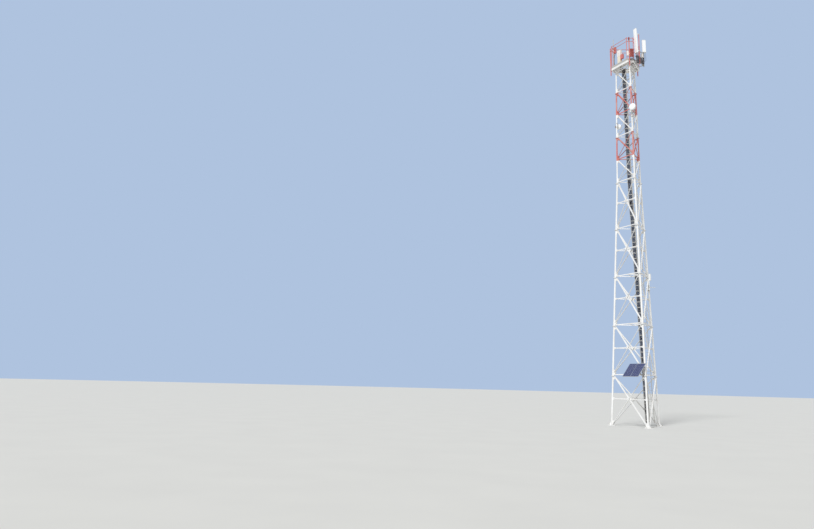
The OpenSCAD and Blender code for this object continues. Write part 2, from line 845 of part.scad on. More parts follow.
// A small unit on the short antenna's pipe, and one on the front pole
module radio_white() {
    color("white") {
        in_sector(short_t) rotate([0, 0, 195 - sector_az]) translate([0, 0, white_z]) {
            radio_body(200, 110, 390, pipe_d / 2 + 25);
            pipe_clamps(pipe_d, pipe_d / 2 + 26, [80, 310]);
        }
        at_front_pole() rotate([0, 0, -90]) translate([0, 0, cream_z]) {
            radio_body(120, 150, 410, pole_d / 2 + 20);
            pipe_clamps(pole_d, pole_d / 2 + 21, [150]);
        }
    }
}

module at_front_pole() {
    on_axis(top_z) rotate([0, 0, -90]) translate([deck_rc + pole_in, front_shift, 0]) children();
}

// Upright pipe inside the railing of the left side, and the radio unit that it carries
radio_s = -673;
radio_pipe_d = 60;
radio_pipe_n = deck_a - rail_in - rail_d / 2 - radio_pipe_d / 2;
radio_z = 1520;

module at_radio_pipe() {
    on_axis(top_z) rotate([0, 0, 210]) translate([radio_pipe_n, radio_s, 0]) children();
}

module radio_pipe() {
    color(steel) at_radio_pipe() translate([0, 0, beam_h + grate_h]) {
        cylinder(d = radio_pipe_d, h = radio_pipe_z - beam_h - grate_h);
        translate([-60, -50, 0]) cube([75, 100, 10]);
    }
}

// The unit on the radio pipe, and a junction box bolted to the cabinet's side
module radio_red() {
    color(red) {
        at_radio_pipe() rotate([0, 0, 180]) translate([0, 0, radio_z]) {
            radio_body(300, 130, 570, radio_pipe_d / 2 + 25);
            pipe_clamps(radio_pipe_d, radio_pipe_d / 2 + 26, [100, 490]);
        }
        on_axis(deck_z + grate_h) rotate([0, 0, 210])
            translate([cabinet_n - 170, cabinet_s + case_w - case_in, 460]) cube([150, 270, 400]);
    }
}

module radio_front() {
    color(red) at_front_pole() translate([0, 0, 380]) {
        translate([0, 150, 0]) radio_body(320, 170, 700, pole_d / 2 + 22);
        pipe_clamps(pole_d, pole_d / 2 + 23, [60, 600]);
    }
}

// Units hung on the two lower horizontal pipes: place along them, width, foot and height
RADIOS = [[-605, 250, -150, 650], [-45, 140, 0, 520], [315, 150, 60, 420]];
lug_reach = cross_d / 2 + 26;

module radio_lug(z, d) {
    translate([0, -40, z - 20]) difference() {
        cube([lug_reach + eps, 80, 40]);
        translate([0, -eps, 20]) rotate([-90, 0, 0]) cylinder(d = d, h = 80 + 2 * eps);
    }
}

module radios_dark() {
    color(dark) for (r = RADIOS)
        in_sector(r[0], cross_r) {
            translate([0, 0, r[2]]) radio_body(r[1], 150, r[3], lug_reach);
            radio_lug(low_cross_z, cross_d);
            radio_lug(mid_cross_z, mid_cross_d);
        }
}

// Cabinet: a white case on a narrower cabinet, seen from the platform's left side
cabinet_n = deck_a - rail_in - 30;
cabinet_s = -260;
case_w = 340;
case_in = 10;
lower_case_h = 800;
upper_case_h = 540;

module equipment_box() {
    color("ivory") on_axis(deck_z + grate_h) rotate([0, 0, 210])
        translate([cabinet_n - 210, cabinet_s, 0]) {
            translate([0, case_in, 0]) cube([200, case_w - 2 * case_in, lower_case_h + eps]);
            translate([0, 0, lower_case_h]) cube([210, case_w, upper_case_h]);
        }
}

// Microwave dish with a shroud and a domed radome
module drum_dish(d, depth, dome) {
    rotate_extrude() polygon(concat(
        [[0, 0], [d * 0.3, 0], [d / 2, depth * 0.45], [d / 2, depth]],
        [for (i = [1 : 8]) [d / 2 * cos(i * 90 / 8), depth + dome * sin(i * 90 / 8)]]));
}

module leg_tube_upper(leg) {
    along_upper_leg(leg) cylinder(d = upper_leg_d, h = upper_w);
}

module leg_tube_lower(leg) {
    along_lower_leg(leg) cylinder(d = lower_leg_d, h = lower_w);
}

// Blocks round a leg at the origin with arms to x = reach, at the given levels
module leg_clamps(d, reach, levels) {
    for (z = levels)
        translate([0, 0, z - 30]) {
            translate([-d / 2 - 20, -d / 2 - 20, 0]) cube([d + 40, d + 40, 60]);
            translate([0, -28, 4]) cube([reach, 56, 52]);
        }
}

dish_z = waist_z + 2.95 * panel_h;
dish_az = 224;
dish_pipe_az = 300;
dish_pipe_n = 300;
dish_pipe_low = -0.42 * panel_h;

// The front leg at the dish, x toward the dish's pipe
module at_front_dish() {
    on_axis(dish_z) translate([0, -r_at(dish_z), 0]) rotate([0, 0, dish_pipe_az]) children();
}

module dish() {
    color("white") at_front_dish() translate([dish_pipe_n, 0, 0])
        rotate([0, 0, dish_az - dish_pipe_az]) {
            translate([165, 0, 0]) rotate([0, 90, 0]) drum_dish(dish_d, 180, 70);
            difference() {
                translate([-pipe_d / 2 - 12, -55, -80]) cube([pipe_d / 2 + 12 + 170, 110, 160]);
                translate([0, 0, -90]) cylinder(d = pipe_d, h = 180);
            }
        }
}

module dish_arm() {
    color(steel) difference() {
        at_front_dish() {
            leg_clamps(upper_leg_d, dish_pipe_n, [-0.34 * panel_h, -0.19 * panel_h]);
            translate([dish_pipe_n, 0, dish_pipe_low]) cylinder(d = pipe_d, h = 140 - dish_pipe_low);
        }
        leg_tube_upper(-90);
    }
}

small_dish_z = waist_z + 2.525 * panel_h;
small_pipe_az = 60;
small_pipe_n = 230;
small_dish_az = 45;
small_pipe_d = 60;

// The left leg at the small dish, x toward the dish's pipe
module at_left_dish() {
    on_axis(small_dish_z) rotate([0, 0, 150]) translate([r_at(small_dish_z), 0, 0])
        rotate([0, 0, small_pipe_az - 150]) children();
}

module small_dish() {
    color("white") at_left_dish() translate([small_pipe_n, 0, 0])
        rotate([0, 0, small_dish_az - small_pipe_az]) {
            translate([110, 0, 0]) rotate([0, 90, 0]) drum_dish(small_dish_d, 130, 40);
            difference() {
                translate([-small_pipe_d / 2 - 12, -45, -60])
                    cube([small_pipe_d / 2 + 12 + 114, 90, 120]);
                translate([0, 0, -70]) cylinder(d = small_pipe_d, h = 140);
            }
        }
}

module small_dish_arm() {
    color(steel) difference() {
        at_left_dish() {
            leg_clamps(upper_leg_d, small_pipe_n, [-160, 160]);
            translate([small_pipe_n, 0, -240]) cylinder(d = small_pipe_d, h = 480);
        }
        leg_tube_upper(150);
    }
}

// Side antenna on the right leg: an upright pipe with a small panel, and a short boom
side_z = 2.775 * bay_h;
side_arm_az = -92;
side_reach = 200;
side_pipe_d = 50;
side_levels = [-250, 110];
// Feet of the pipe and of the panel from the level of the boom
side_pipe_foot = -280;
side_panel_foot = 550;
side_panel_top = side_panel_foot + side_ant_h;

module at_side_arm() {
    on_axis(side_z) rotate([0, 0, 30]) translate([r_at(side_z), 0, 0])
        rotate([0, 0, side_arm_az - 30]) children();
}

module side_antenna() {
    color("white") at_side_arm() translate([side_reach, 0, 0]) {
        translate([0, 0, side_pipe_foot])
            cylinder(d = side_pipe_d, h = side_panel_top - side_pipe_foot - 10);
        rotate([0, 0, -45 - side_arm_az]) {
            translate([side_pipe_d / 2 + 30, -100, side_panel_foot]) cube([80, 200, side_ant_h]);
            for (z = [side_panel_foot + 70, side_panel_top - 150])
                translate([0, -30, z]) cube([side_pipe_d / 2 + 31, 60, 50]);
        }
    }
}

module side_antenna_arm() {
    color(dark) {
        difference() {
            at_side_arm() {
                leg_clamps(lower_leg_d, side_reach, side_levels);
                for (z = side_levels)
                    translate([side_reach - 42, -42, z - 30]) cube([84, 84, 60]);
            }
            leg_tube_lower(30);
            at_side_arm() translate([side_reach, 0, -300]) cylinder(d = side_pipe_d, h = 600);
        }
        at_side_arm() translate([side_reach, 0, -20]) rotate([0, 0, -15 - side_arm_az]) {
            difference() {
                translate([-40, -40, -30]) cube([80, 80, 60]);
                translate([0, 0, -40]) cylinder(d = side_pipe_d, h = 80);
            }
            translate([39, 0, 0]) rotate([0, 90, 0]) cylinder(d = 22, h = 440);
            for (x = [110, 210, 310, 410])
                translate([x, 0, -70]) cylinder(d = 10, h = 140);
        }
    }
}

// Two solar modules on a tilted frame beside the front leg
solar_u = 560;
solar_n = 172;
purlin = 50;
high_x = 200;
low_x = solar_len - 260;
// Height of the modules' upper edge above the arms
solar_rise = low_x * sin(solar_tilt) + 3;
solar_arm_u = [lower_half(lower_level(1)) - 200, lower_half(lower_level(1)) - 1150];

module at_solar() {
    on_axis() rotate([0, 0, 210]) translate([r_at(bay_h) / 2 + solar_n, solar_u, bay_h + solar_rise])
        rotate([0, solar_tilt, 0]) children();
}

module solar_modules() {
    color("midnightblue") at_solar() for (s = [0, 1])
        translate([0, s * (solar_w + 20) - 200, 0]) cube([solar_len, solar_w, solar_t]);
}

// Purlins under the modules, on two arms with posts that stand off the tower's left face
module solar_frame() {
    arm_n = [gusset_t / 2, -gusset_t / 2];
    color(steel) union() {
        at_solar() for (x = [high_x, low_x])
            translate([x, -200, -purlin]) cube([60, 2 * solar_w + 20, purlin]);
        on_lower_face(210) translate([0, 0, lower_level(1)]) for (i = [0, 1]) {
            translate([arm_n[i], solar_arm_u[i], -70])
                cube([solar_n + low_x * cos(solar_tilt) - 10 - arm_n[i], 50, 60]);
            translate([solar_n + high_x * cos(solar_tilt) - 16, solar_arm_u[i], -20])
                cube([50, 50, solar_rise - high_x * sin(solar_tilt) - 27]);
        }
    }
}

leg_lower(-90);  // leg_front_lower
leg_lower(30);  // leg_right_lower
leg_lower(150);  // leg_left_lower
leg_upper(-90);  // leg_front_upper
leg_upper(30);  // leg_right_upper
leg_upper(150);  // leg_left_upper
bracing_lower(90);  // bracing_back_lower
bracing_lower(210);  // bracing_left_lower
bracing_lower(330);  // bracing_right_lower
bracing_upper(90);  // bracing_back_upper
bracing_upper(210);  // bracing_left_upper
bracing_upper(330);  // bracing_right_upper
plan_bracing();
climbing_ladder();
cable_ladder();
ladder_brackets();
feeder_cables();
cable_clamps();
platform_beams();
platform_grating();
kick_plate();
railing();
radio_pipe();
corner_pole(-90, front_shift, lamp_z + pole_drop);  // corner_pole_front
corner_pole(30, 0, pole_len);  // corner_pole_right
corner_pole(150, left_shift, pole_len);  // corner_pole_left
obstruction_lamp();
sector_frame();
tall_antenna_pipe();
short_antenna_pipe();
tall_antenna();
short_antenna();
radio_white();
radio_red();
radio_front();
radios_dark();
equipment_box();
dish();
dish_arm();
small_dish();
small_dish_arm();
side_antenna();
side_antenna_arm();
solar_modules();
solar_frame();
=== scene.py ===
"""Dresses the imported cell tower: banded enamel, fasteners, platform fittings, antennas and solar cells."""

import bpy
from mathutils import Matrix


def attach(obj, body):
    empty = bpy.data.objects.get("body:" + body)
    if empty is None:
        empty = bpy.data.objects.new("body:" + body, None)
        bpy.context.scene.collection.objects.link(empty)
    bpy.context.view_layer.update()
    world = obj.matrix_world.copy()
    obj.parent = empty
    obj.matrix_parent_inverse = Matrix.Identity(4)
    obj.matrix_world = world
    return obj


bl_info = {
    "name": "Cell Tower Dressing",
    "version": (1, 0, 0),
    "blender": (4, 5, 0),
    "location": "View3D > Sidebar > Tower",
    "description": "Paint, fasteners and fittings of a three-legged lattice tower",
    "category": "Object",
}

import math

import bmesh
import bpy
from bpy.props import FloatProperty, FloatVectorProperty, IntProperty, PointerProperty, StringProperty
from mathutils import Matrix, Vector

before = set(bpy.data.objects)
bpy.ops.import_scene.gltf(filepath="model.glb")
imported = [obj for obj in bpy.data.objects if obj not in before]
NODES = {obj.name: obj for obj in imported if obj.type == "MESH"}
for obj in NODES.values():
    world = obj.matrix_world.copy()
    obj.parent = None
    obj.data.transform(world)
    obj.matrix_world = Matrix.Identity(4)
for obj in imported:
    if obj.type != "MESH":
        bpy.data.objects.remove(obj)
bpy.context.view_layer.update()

LEGS = {"front": -90, "right": 30, "left": 150}
FACES = {"back": 90, "left": 210, "right": 330}


class TowerSizes(bpy.types.PropertyGroup):
    """Driving sizes of the tower, the same as in its construction."""

    base_r: FloatProperty(name="Base radius", description="Tower axis to a leg at the ground",
                          default=2.156, unit="LENGTH")
    waist_r: FloatProperty(name="Waist radius", description="Tower axis to a leg at the waist",
                           default=1.107, unit="LENGTH")
    top_r: FloatProperty(name="Top radius", description="Tower axis to a leg under the platform",
                         default=0.891, unit="LENGTH")
    bay: FloatProperty(name="Bay", description="Height of a lower bay", default=4.0, unit="LENGTH")
    panel: FloatProperty(name="Panel", description="Height of an upper panel", default=2.0,
                         unit="LENGTH")
    bays: IntProperty(name="Bays", description="Number of lower bays", default=5)
    panels: IntProperty(name="Panels", description="Number of upper panels", default=5)


class TowerColours(bpy.types.PropertyGroup):
    """Colours of the finishes, as sRGB hex codes."""

    white: StringProperty(name="White enamel", description="Light bands", default="#F5F6F6")
    red: StringProperty(name="Red enamel", description="Faded red bands", default="#D1736B")
    zinc: StringProperty(name="Zinc", description="Hot-dip galvanising", default="#C6C2BA")
    sheath: StringProperty(name="Sheath", description="Cable jackets", default="#201C26")
    radome: StringProperty(name="Radome", description="Antenna covers", default="#F7F9FA")
    cream: StringProperty(name="Cabinet", description="Cabinet powder coat", default="#EADFCB")
    cell: StringProperty(name="Solar cell", description="Silicon cells", default="#2B2A55")
    floor: StringProperty(name="Floor", description="Studio floor", default="#D8D8D4")
    sky: StringProperty(name="Backdrop", description="What the camera sees behind the tower",
                        default="#AFC3DF")


class TowerStage(bpy.types.PropertyGroup):
    """The camera, fitted to the legs' joints in the photograph, and the lamps."""

    focal_px: FloatProperty(name="Focal length", description="In pixels of an image 814 wide",
                            default=661.7)
    eye: FloatVectorProperty(name="Eye", description="Place of the camera",
                             default=(-15.802, -51.711, 2.910), unit="LENGTH")
    heading: FloatProperty(name="Heading", description="Turned left of +Y",
                           default=math.radians(2.870), unit="ROTATION")
    pitch: FloatProperty(name="Pitch", description="Tilted up", default=math.radians(10.159),
                         unit="ROTATION")
    roll: FloatProperty(name="Roll", description="About the line of sight",
                        default=math.radians(1.426), unit="ROTATION")
    sun: FloatProperty(name="Key lamp", description="Strength of the key lamp", default=2.3)
    fill: FloatProperty(name="Fill", description="Strength of the light from all round",
                        default=0.55)


def sizes():
    return bpy.context.scene.tower_sizes


def colours():
    return bpy.context.scene.tower_colours


# Materials

def linear(code):
    """An sRGB hex code as linear red, green, blue and alpha."""
    channels = [int(code[i:i + 2], 16) / 255 for i in (1, 3, 5)]
    return [c / 12.92 if c <= 0.04045 else ((c + 0.055) / 1.055) ** 2.4 for c in channels] + [1.0]


def add(tree, kind, values=None, links=None, **settings):
    """Adds a node with its settings, socket values and incoming links."""
    node = tree.nodes.new(kind)
    for name, value in settings.items():
        setattr(node, name, value)
    for socket, value in (values or {}).items():
        node.inputs[socket].default_value = value
    for socket, source in (links or {}).items():
        tree.links.new(source, node.inputs[socket])
    return node


def start_material(name):
    """A new material with an empty tree, and the object coordinates that its patterns read."""
    made = bpy.data.materials.new(name)
    made.use_nodes = True
    tree = made.node_tree
    tree.nodes.clear()
    return made, tree, add(tree, "ShaderNodeTexCoord").outputs["Object"]


def noise(tree, place, size_mm, detail=2.0, stretch=(1, 1, 1)):
    """Noise whose lumps are size_mm across, pulled out along the axes by stretch."""
    if stretch != (1, 1, 1):
        place = add(tree, "ShaderNodeMapping", {"Scale": [1 / s for s in stretch]},
                    {"Vector": place}).outputs["Vector"]
    return add(tree, "ShaderNodeTexNoise", {"Scale": 1000 / size_mm, "Detail": detail},
               {"Vector": place}).outputs["Fac"]


def remap(tree, value, low, high, to_low, to_high):
    return add(tree, "ShaderNodeMapRange",
               {"From Min": low, "From Max": high, "To Min": to_low, "To Max": to_high},
               {"Value": value}).outputs["Result"]


def blend_colours(tree, factor, a, b):
    """Mixes two colours, each a socket or a linear colour, by a factor's socket."""
    node = add(tree, "ShaderNodeMix", links={0: factor}, data_type="RGBA", blend_type="MIX")
    for index, value in ((6, a), (7, b)):
        if isinstance(value, bpy.types.NodeSocket):
            tree.links.new(value, node.inputs[index])
        else:
            node.inputs[index].default_value = value
    return node.outputs[2]


def surface(tree, values, links, bumps=()):
    """The shader and its output. Bumps are (height socket, depth in mm) pairs, coarse first."""
    normal = {}
    for height, depth_mm in bumps:
        bump = add(tree, "ShaderNodeBump", {"Strength": 1.0, "Distance": depth_mm / 1000},
                   {"Height": height, **normal})
        normal = {"Normal": bump.outputs["Normal"]}
    shader = add(tree, "ShaderNodeBsdfPrincipled", values, {**links, **normal})
    add(tree, "ShaderNodeOutputMaterial", links={"Surface": shader.outputs["BSDF"]})


# Heights, in metres, at which the paint changes; it is white below the first
RED_FROM = (21.87, 25.87)
WHITE_FROM = (23.87, 27.87)
PAINT_TOP = 40.0
# Height at which the white case stands on the cream cabinet
CASE_FROM = 30.99
# How far a pattern is pulled out along Z: not at all, or into streaks and brush marks
EVEN, BRUSHED, RUN_DOWN = (1, 1, 1), (1, 1, 9), (1, 1, 8)
# The values between which most of the noise lies
NOISE_LOW, NOISE_HIGH = 0.3, 0.7
# Width of the zinc's crystals, in mm
SPANGLE = 12


def panel_colour(name):
    """A colour of the panel by its name, or a hex code, as a linear colour."""
    return linear(getattr(colours(), name, name))


def bands(tree, place):
    """Red and white bands by height, their edges ragged from the brush."""
    height = add(tree, "ShaderNodeSeparateXYZ", links={"Vector": place}).outputs["Z"]
    wobble = remap(tree, noise(tree, place, 90), NOISE_LOW, NOISE_HIGH, -0.02, 0.02)
    height = add(tree, "ShaderNodeMath", links={0: height, 1: wobble}, operation="ADD").outputs[0]
    ramp = add(tree, "ShaderNodeValToRGB",
               links={"Fac": remap(tree, height, 0, PAINT_TOP, 0, 1)})
    ramp.color_ramp.interpolation = "CONSTANT"
    stops = ramp.color_ramp.elements
    stops[0].color = panel_colour("white")
    stops[1].position = RED_FROM[0] / PAINT_TOP
    stops[1].color = panel_colour("red")
    for heights, name in ((RED_FROM[1:], "red"), (WHITE_FROM, "white")):
        for z in heights:
            stops.new(z / PAINT_TOP).color = panel_colour(name)
    return ramp.outputs["Color"]


def two_tone(tree, place):
    """Cream on the cabinet and white on the case above it."""
    height = add(tree, "ShaderNodeSeparateXYZ", links={"Vector": place}).outputs["Z"]
    upper = add(tree, "ShaderNodeMath", {1: CASE_FROM}, {0: height}, operation="GREATER_THAN")
    return blend_colours(tree, upper.outputs[0], panel_colour("cream"), linear("#EFEAE6"))


def coat(name, base, layers, gloss, bump, values):
    """A weathered surface: layers of dirt or fading over a base, patchy gloss and fine relief.

    A layer is (size in mm, detail, stretch, noise where it starts and is full, share, colour),
    gloss is (size in mm, detail, low, high), bump is (size in mm, detail, stretch, depth in mm), and
    values go to the shader's other sockets.
    """
    made, tree, place = start_material(name)
    colour = base(tree, place) if callable(base) else panel_colour(base)
    for size, detail, stretch, start, full, share, code in layers:
        amount = remap(tree, noise(tree, place, size, detail, stretch), start, full, 0.0, share)
        colour = blend_colours(tree, amount, colour, linear(code))
    links = {"Base Color": colour}
    if gloss:
        size, detail, low, high = gloss
        links["Roughness"] = remap(tree, noise(tree, place, size, detail), NOISE_LOW, NOISE_HIGH,
                                   low, high)
    surface(tree, values, links, [(noise(tree, place, *bump[:3]), bump[3])])
    return made


def galvanised_steel():
    """Hot-dip zinc, weathered dull: crystal spangles, greyer where it has chalked."""
    made, tree, place = start_material("hot-dip galvanised steel")
    spangle = add(tree, "ShaderNodeTexVoronoi", {"Scale": 1000 / SPANGLE}, {"Vector": place})
    grain = add(tree, "ShaderNodeSeparateColor", links={"Color": spangle.outputs["Color"]}).outputs[0]
    tone = blend_colours(tree, remap(tree, grain, 0, 1, 0, 0.4), panel_colour("zinc"),
                         linear("#A09F9B"))
    chalk = remap(tree, noise(tree, place, 220, 4), 0.45, 0.7, 0.0, 0.6)
    colour = blend_colours(tree, chalk, tone, linear("#CBC9C1"))
    rough = remap(tree, grain, 0, 1, 0.42, 0.62)
    surface(tree, {"Metallic": 0.3}, {"Base Color": colour, "Roughness": rough},
            [(noise(tree, place, 30, 3), 0.3), (grain, 0.05)])
    return made


def studio_floor():
    """Matt light grey, so it only catches the shadow."""
    made, tree, place = start_material("matt studio floor")
    patches = remap(tree, noise(tree, place, 2500, 2), NOISE_LOW, NOISE_HIGH, 0, 0.25)
    tone = blend_colours(tree, patches, panel_colour("floor"), linear("#CDCDCA"))
    surface(tree, {"Roughness": 0.9}, {"Base Color": tone})
    return made


def enamel(name, base, fading, streaks, rust_mm, gloss):
    """Alkyd enamel brushed over zinc: matt and chalky, faded, streaked by rain, with rust spots."""
    return coat(name, base, [fading, streaks, (rust_mm, 4, EVEN, 0.70, 0.74, 0.8, "#7B4A30")],
                gloss, (4, 2, BRUSHED, 0.25), {"IOR": 1.5})


def powder_coat(name, code):
    """Powder coat baked on cast aluminium or sheet steel: even colour, fine orange peel."""
    return coat(name, code, [(160, 3, EVEN, 0.35, 0.7, 0.22, "#CFCBC4"),
                             (20, 3, RUN_DOWN, 0.55, 0.8, 0.25, "#4E4944")],
                (50, 2, 0.36, 0.52), (2.5, 1, EVEN, 0.05), {"IOR": 1.5})


def metal(name, code, dull, metallic, rough, grain_mm):
    """Plated or anodised metal: fine grain, dull where it has weathered."""
    return coat(name, code, [(grain_mm * 6, 3, EVEN, 0.4, 0.7, 0.6, dull)],
                (grain_mm, 2, rough - 0.08, rough + 0.1), (grain_mm, 2, EVEN, 0.04),
                {"Metallic": metallic})


def moulded(name, code, rough):
    """Moulded polymer: even colour, dull with dust in patches, a fine texture from the mould."""
    return coat(name, code, [(60, 3, EVEN, 0.45, 0.75, 0.25, "#9A958C")],
                (12, 2, rough - 0.06, rough + 0.1), (1.2, 1, EVEN, 0.03), {"IOR": 1.5})


class Finishes:
    """Every finish, made once when it is first asked for."""

    # The maker of each finish and what it is told, which begins with the material's name
    makers = {
        "enamel": (enamel, "banded alkyd enamel", bands, (700, 3, EVEN, 0.35, 0.7, 0.35, "#D9D3CC"),
                   (26, 3, (1, 1, 14), 0.5, 0.75, 0.22, "#6F675C"), 45, (60, 3, 0.42, 0.62)),
        "plain_red": (enamel, "plain alkyd enamel", "red", (500, 3, EVEN, 0.35, 0.7, 0.3, "#DDB3AC"),
                      (22, 3, (1, 1, 12), 0.5, 0.75, 0.2, "#6F5A50"), 38, (60, 3, 0.4, 0.6)),
        "zinc": (galvanised_steel,),
        "plated": (metal, "electroplated fasteners", "#C9C7C0", "#9B958A", 0.85, 0.36, 3),
        "anodised": (metal, "anodised aluminium", "#D4D6D8", "#B0B1B1", 0.9, 0.34, 5),
        "silver_print": (metal, "printed silver conductors", "#B9BCC6", "#8D90A0", 0.6, 0.4, 2),
        "cap_plastic": (moulded, "moulded light polymer", "#DDDDD8", 0.45),
        "cap_rubber": (moulded, "black rubber", "#2B2A2C", 0.6),
        "tan_coat": (powder_coat, "tan powder coat", "#A8897A"),
        "white_coat": (powder_coat, "white powder coat", "#F0EDE9"),
        "red_coat": (powder_coat, "red powder coat", "#D2706A"),
        # Dark grey of the radio units on the sector frame: partly their own colour, partly painted shade of
        # the platform's shaded right side and underside
        "dark_coat": (powder_coat, "dark powder coat and painted shade", "#45434C"),
        # Sheet steel in two colours, with a little grime
        "cabinet_coat": (coat, "two-tone powder coat", two_tone,
                         [(20, 3, RUN_DOWN, 0.55, 0.8, 0.2, "#6B655C")], (50, 2, 0.36, 0.52),
                         (2.5, 1, EVEN, 0.05), {"IOR": 1.5}),
        # Extruded black polyethylene: satin, with road dust that dulls it in patches
        "sheath": (coat, "black polyethylene sheath", "sheath",
                   [(130, 4, EVEN, 0.45, 0.75, 0.35, "#6A6468")], (18, 2, 0.42, 0.6),
                   (6, 2, EVEN, 0.15), {"IOR": 1.51}),
        # Glass-fibre radome with a white gel coat: smooth, slight orange peel, a little rain dirt
        "radome": (coat, "gel-coated glass fibre", "radome",
                   [(40, 3, (1, 1, 10), 0.55, 0.8, 0.16, "#A8A49A")], (90, 2, 0.26, 0.4),
                   (5, 1, EVEN, 0.06), {"IOR": 1.5}),
        # Red pressed glass: deep colour, glossy, with slight waves
        "lamp_glass": (coat, "red pressed glass", "#C9302B", [(30, 2, EVEN, 0.3, 0.7, 0.5, "#8E1D1C")],
                       (25, 2, 0.08, 0.2), (9, 1, EVEN, 0.1),
                       {"IOR": 1.52, "Transmission Weight": 0.25, "Coat Weight": 0.5}),
        # Monocrystalline silicon behind tempered glass: deep blue-violet and glossy all over
        "cells": (coat, "silicon cells under glass", "cell",
                  [(125, 2, EVEN, 0.35, 0.7, 0.5, "#3E3F78")], None, (3, 1, EVEN, 0.02),
                  {"Roughness": 0.3, "IOR": 1.52, "Coat Weight": 1.0, "Coat Roughness": 0.06}),
    }
    made = {}

    @classmethod
    def get(cls, name):
        if name not in cls.made:
            maker, *told = cls.makers[name]
            cls.made[name] = maker(*told)
        return cls.made[name]


CAD_FINISH = {
    "leg": "enamel", "bracing": "enamel", "plan_bracing": "enamel",
    "platform_beams": "enamel", "railing": "plain_red", "corner_pole": "plain_red",
    "tall_antenna_pipe": "plain_red", "obstruction_lamp": "lamp_glass", "feeder_cables": "sheath",
    "tall_antenna": "radome", "short_antenna": "radome", "dish": "radome", "small_dish": "radome",
    "side_antenna": "radome", "radio_white": "white_coat", "radio_red": "red_coat",
    # The dark radios get the dark coat, whose dark colour is partly painted shade
    "radio_front": "red_coat", "radios_dark": "dark_coat", "equipment_box": "cabinet_coat",
    "solar_modules": "cells",
}


def finish_of(node):
    """The finish whose key is the node's name or the longest start of it; zinc for the rest."""
    if node in CAD_FINISH:
        return CAD_FINISH[node]
    starts = [key for key in CAD_FINISH if node.startswith(key + "_")]
    if not starts or node.endswith(("_arm", "_pipe", "_frame")):
        return "zinc"
    return CAD_FINISH[max(starts, key=len)]


# The slot that goes with a finish, unless a piece says another
USUAL_SLOT = {
    "zinc": "galvanised_steel", "plated": "galvanised_steel", "anodised": "galvanised_steel",
    "sheath": "cable_sheath", "cap_rubber": "cable_sheath", "cap_plastic": "cable_sheath",
    "plain_red": "red_paint", "lamp_glass": "lamp_glass", "silver_print": "solar_glass",
    "cabinet_coat": "cabinet_paint", "white_coat": "cabinet_paint", "tan_coat": "radio_red_paint",
}


# Modelling

SMOOTH_BELOW = math.radians(35)
CABLE_R = 0.0065
# How far cable ties reach up and down, and their thickness
TIE_HALF, TIE_THICK = 0.006, 0.0015


def at(x=0.0, y=0.0, z=0.0):
    return Matrix.Translation((x, y, z))


def turn(degrees, axis="Z"):
    return Matrix.Rotation(math.radians(degrees), 4, axis)


def tip(radians, axis="Y"):
    return Matrix.Rotation(radians, 4, axis)


def facing(way):
    """Turns Z to a direction."""
    return way.to_track_quat("Z", "Y").to_matrix().to_4x4()


def drop(height):
    return Vector((0, 0, -height))


def up(place, heights):
    """A place set again at heights above itself."""
    return [place @ at(z=z) for z in heights]


def ring(count, radius=0.0, first=0.0, z=0.0):
    """Places evenly round Z with X outward, the first one at an angle of first degrees."""
    return [turn(first + 360 / count * i) @ at(radius, 0, z) for i in range(count)]


def nested(outer, inner):
    """Every inner place in the frame of every outer place."""
    return [place @ spot for place in outer for spot in inner]


def sides_of(corners):
    """The sides of an outline, as pairs of corners."""
    return zip(corners, corners[1:] + corners[:1])


def choose(*objects):
    """Selects these objects alone and makes the first one active."""
    bpy.ops.object.select_all(action="DESELECT")
    for item in objects:
        item.select_set(True)
    bpy.context.view_layer.objects.active = objects[0]


def settle():
    """The object that an operator has just made, with its place and scale in its mesh."""
    piece = bpy.context.active_object
    choose(piece)
    bpy.ops.object.transform_apply()
    return piece


def shape(piece, face_test=None, edge_test=None):
    """Enters edit mode with the faces whose normal passes, or the edges whose ends pass."""
    choose(piece)
    bpy.ops.object.mode_set(mode="EDIT")
    bpy.ops.mesh.select_mode(type="FACE" if face_test else "EDGE")
    bpy.ops.mesh.select_all(action="DESELECT")
    mesh = bmesh.from_edit_mesh(piece.data)
    if face_test:
        chosen = [face for face in mesh.faces if face_test(face.normal)]
    else:
        chosen = [edge for edge in mesh.edges if edge_test(*(end.co for end in edge.verts))]
    for item in chosen:
        item.select_set(True)
    bmesh.update_edit_mesh(piece.data)


def done():
    bpy.ops.object.mode_set(mode="OBJECT")


def every_face(normal):
    return True


def ends(normal):
    return abs(normal.z) > 0.99


def bevel(piece, face_test, width, segments=2):
    """Rounds the edges of the faces that pass."""
    shape(piece, face_test)
    bpy.ops.mesh.bevel(offset=width, segments=segments, affect="EDGES")
    done()


def extrude(x=0.0, y=0.0, z=0.0):
    bpy.ops.mesh.extrude_region_move(TRANSFORM_OT_translate={"value": (x, y, z)})


def block(size, centre=(0, 0, 0), rounding=0.0, segments=2):
    """A box of a size about a centre, its edges rounded."""
    bpy.ops.mesh.primitive_cube_add(size=1, location=centre)
    bpy.context.active_object.scale = size
    piece = settle()
    if rounding:
        bevel(piece, every_face, rounding, segments)
    return piece


def rod(radius, low, high, x=0.0, y=0.0, sides=16, rim=0.0, fill="NGON"):
    """An upright round or many-sided bar, its rims bevelled."""
    bpy.ops.mesh.primitive_cylinder_add(vertices=sides, radius=radius, depth=high - low,
                                        end_fill_type=fill, location=(x, y, (low + high) / 2))
    piece = settle()
    if rim:
        bevel(piece, ends, rim, 1)
    return piece


def band(radius, low, high, thick, sides=32):
    """An open hoop of sheet metal."""
    piece = rod(radius, low, high, sides=sides, fill="NOTHING")
    wall = piece.modifiers.new("wall", "SOLIDIFY")
    wall.thickness = thick
    wall.offset = 1
    bpy.ops.object.modifier_apply(modifier=wall.name)
    return piece


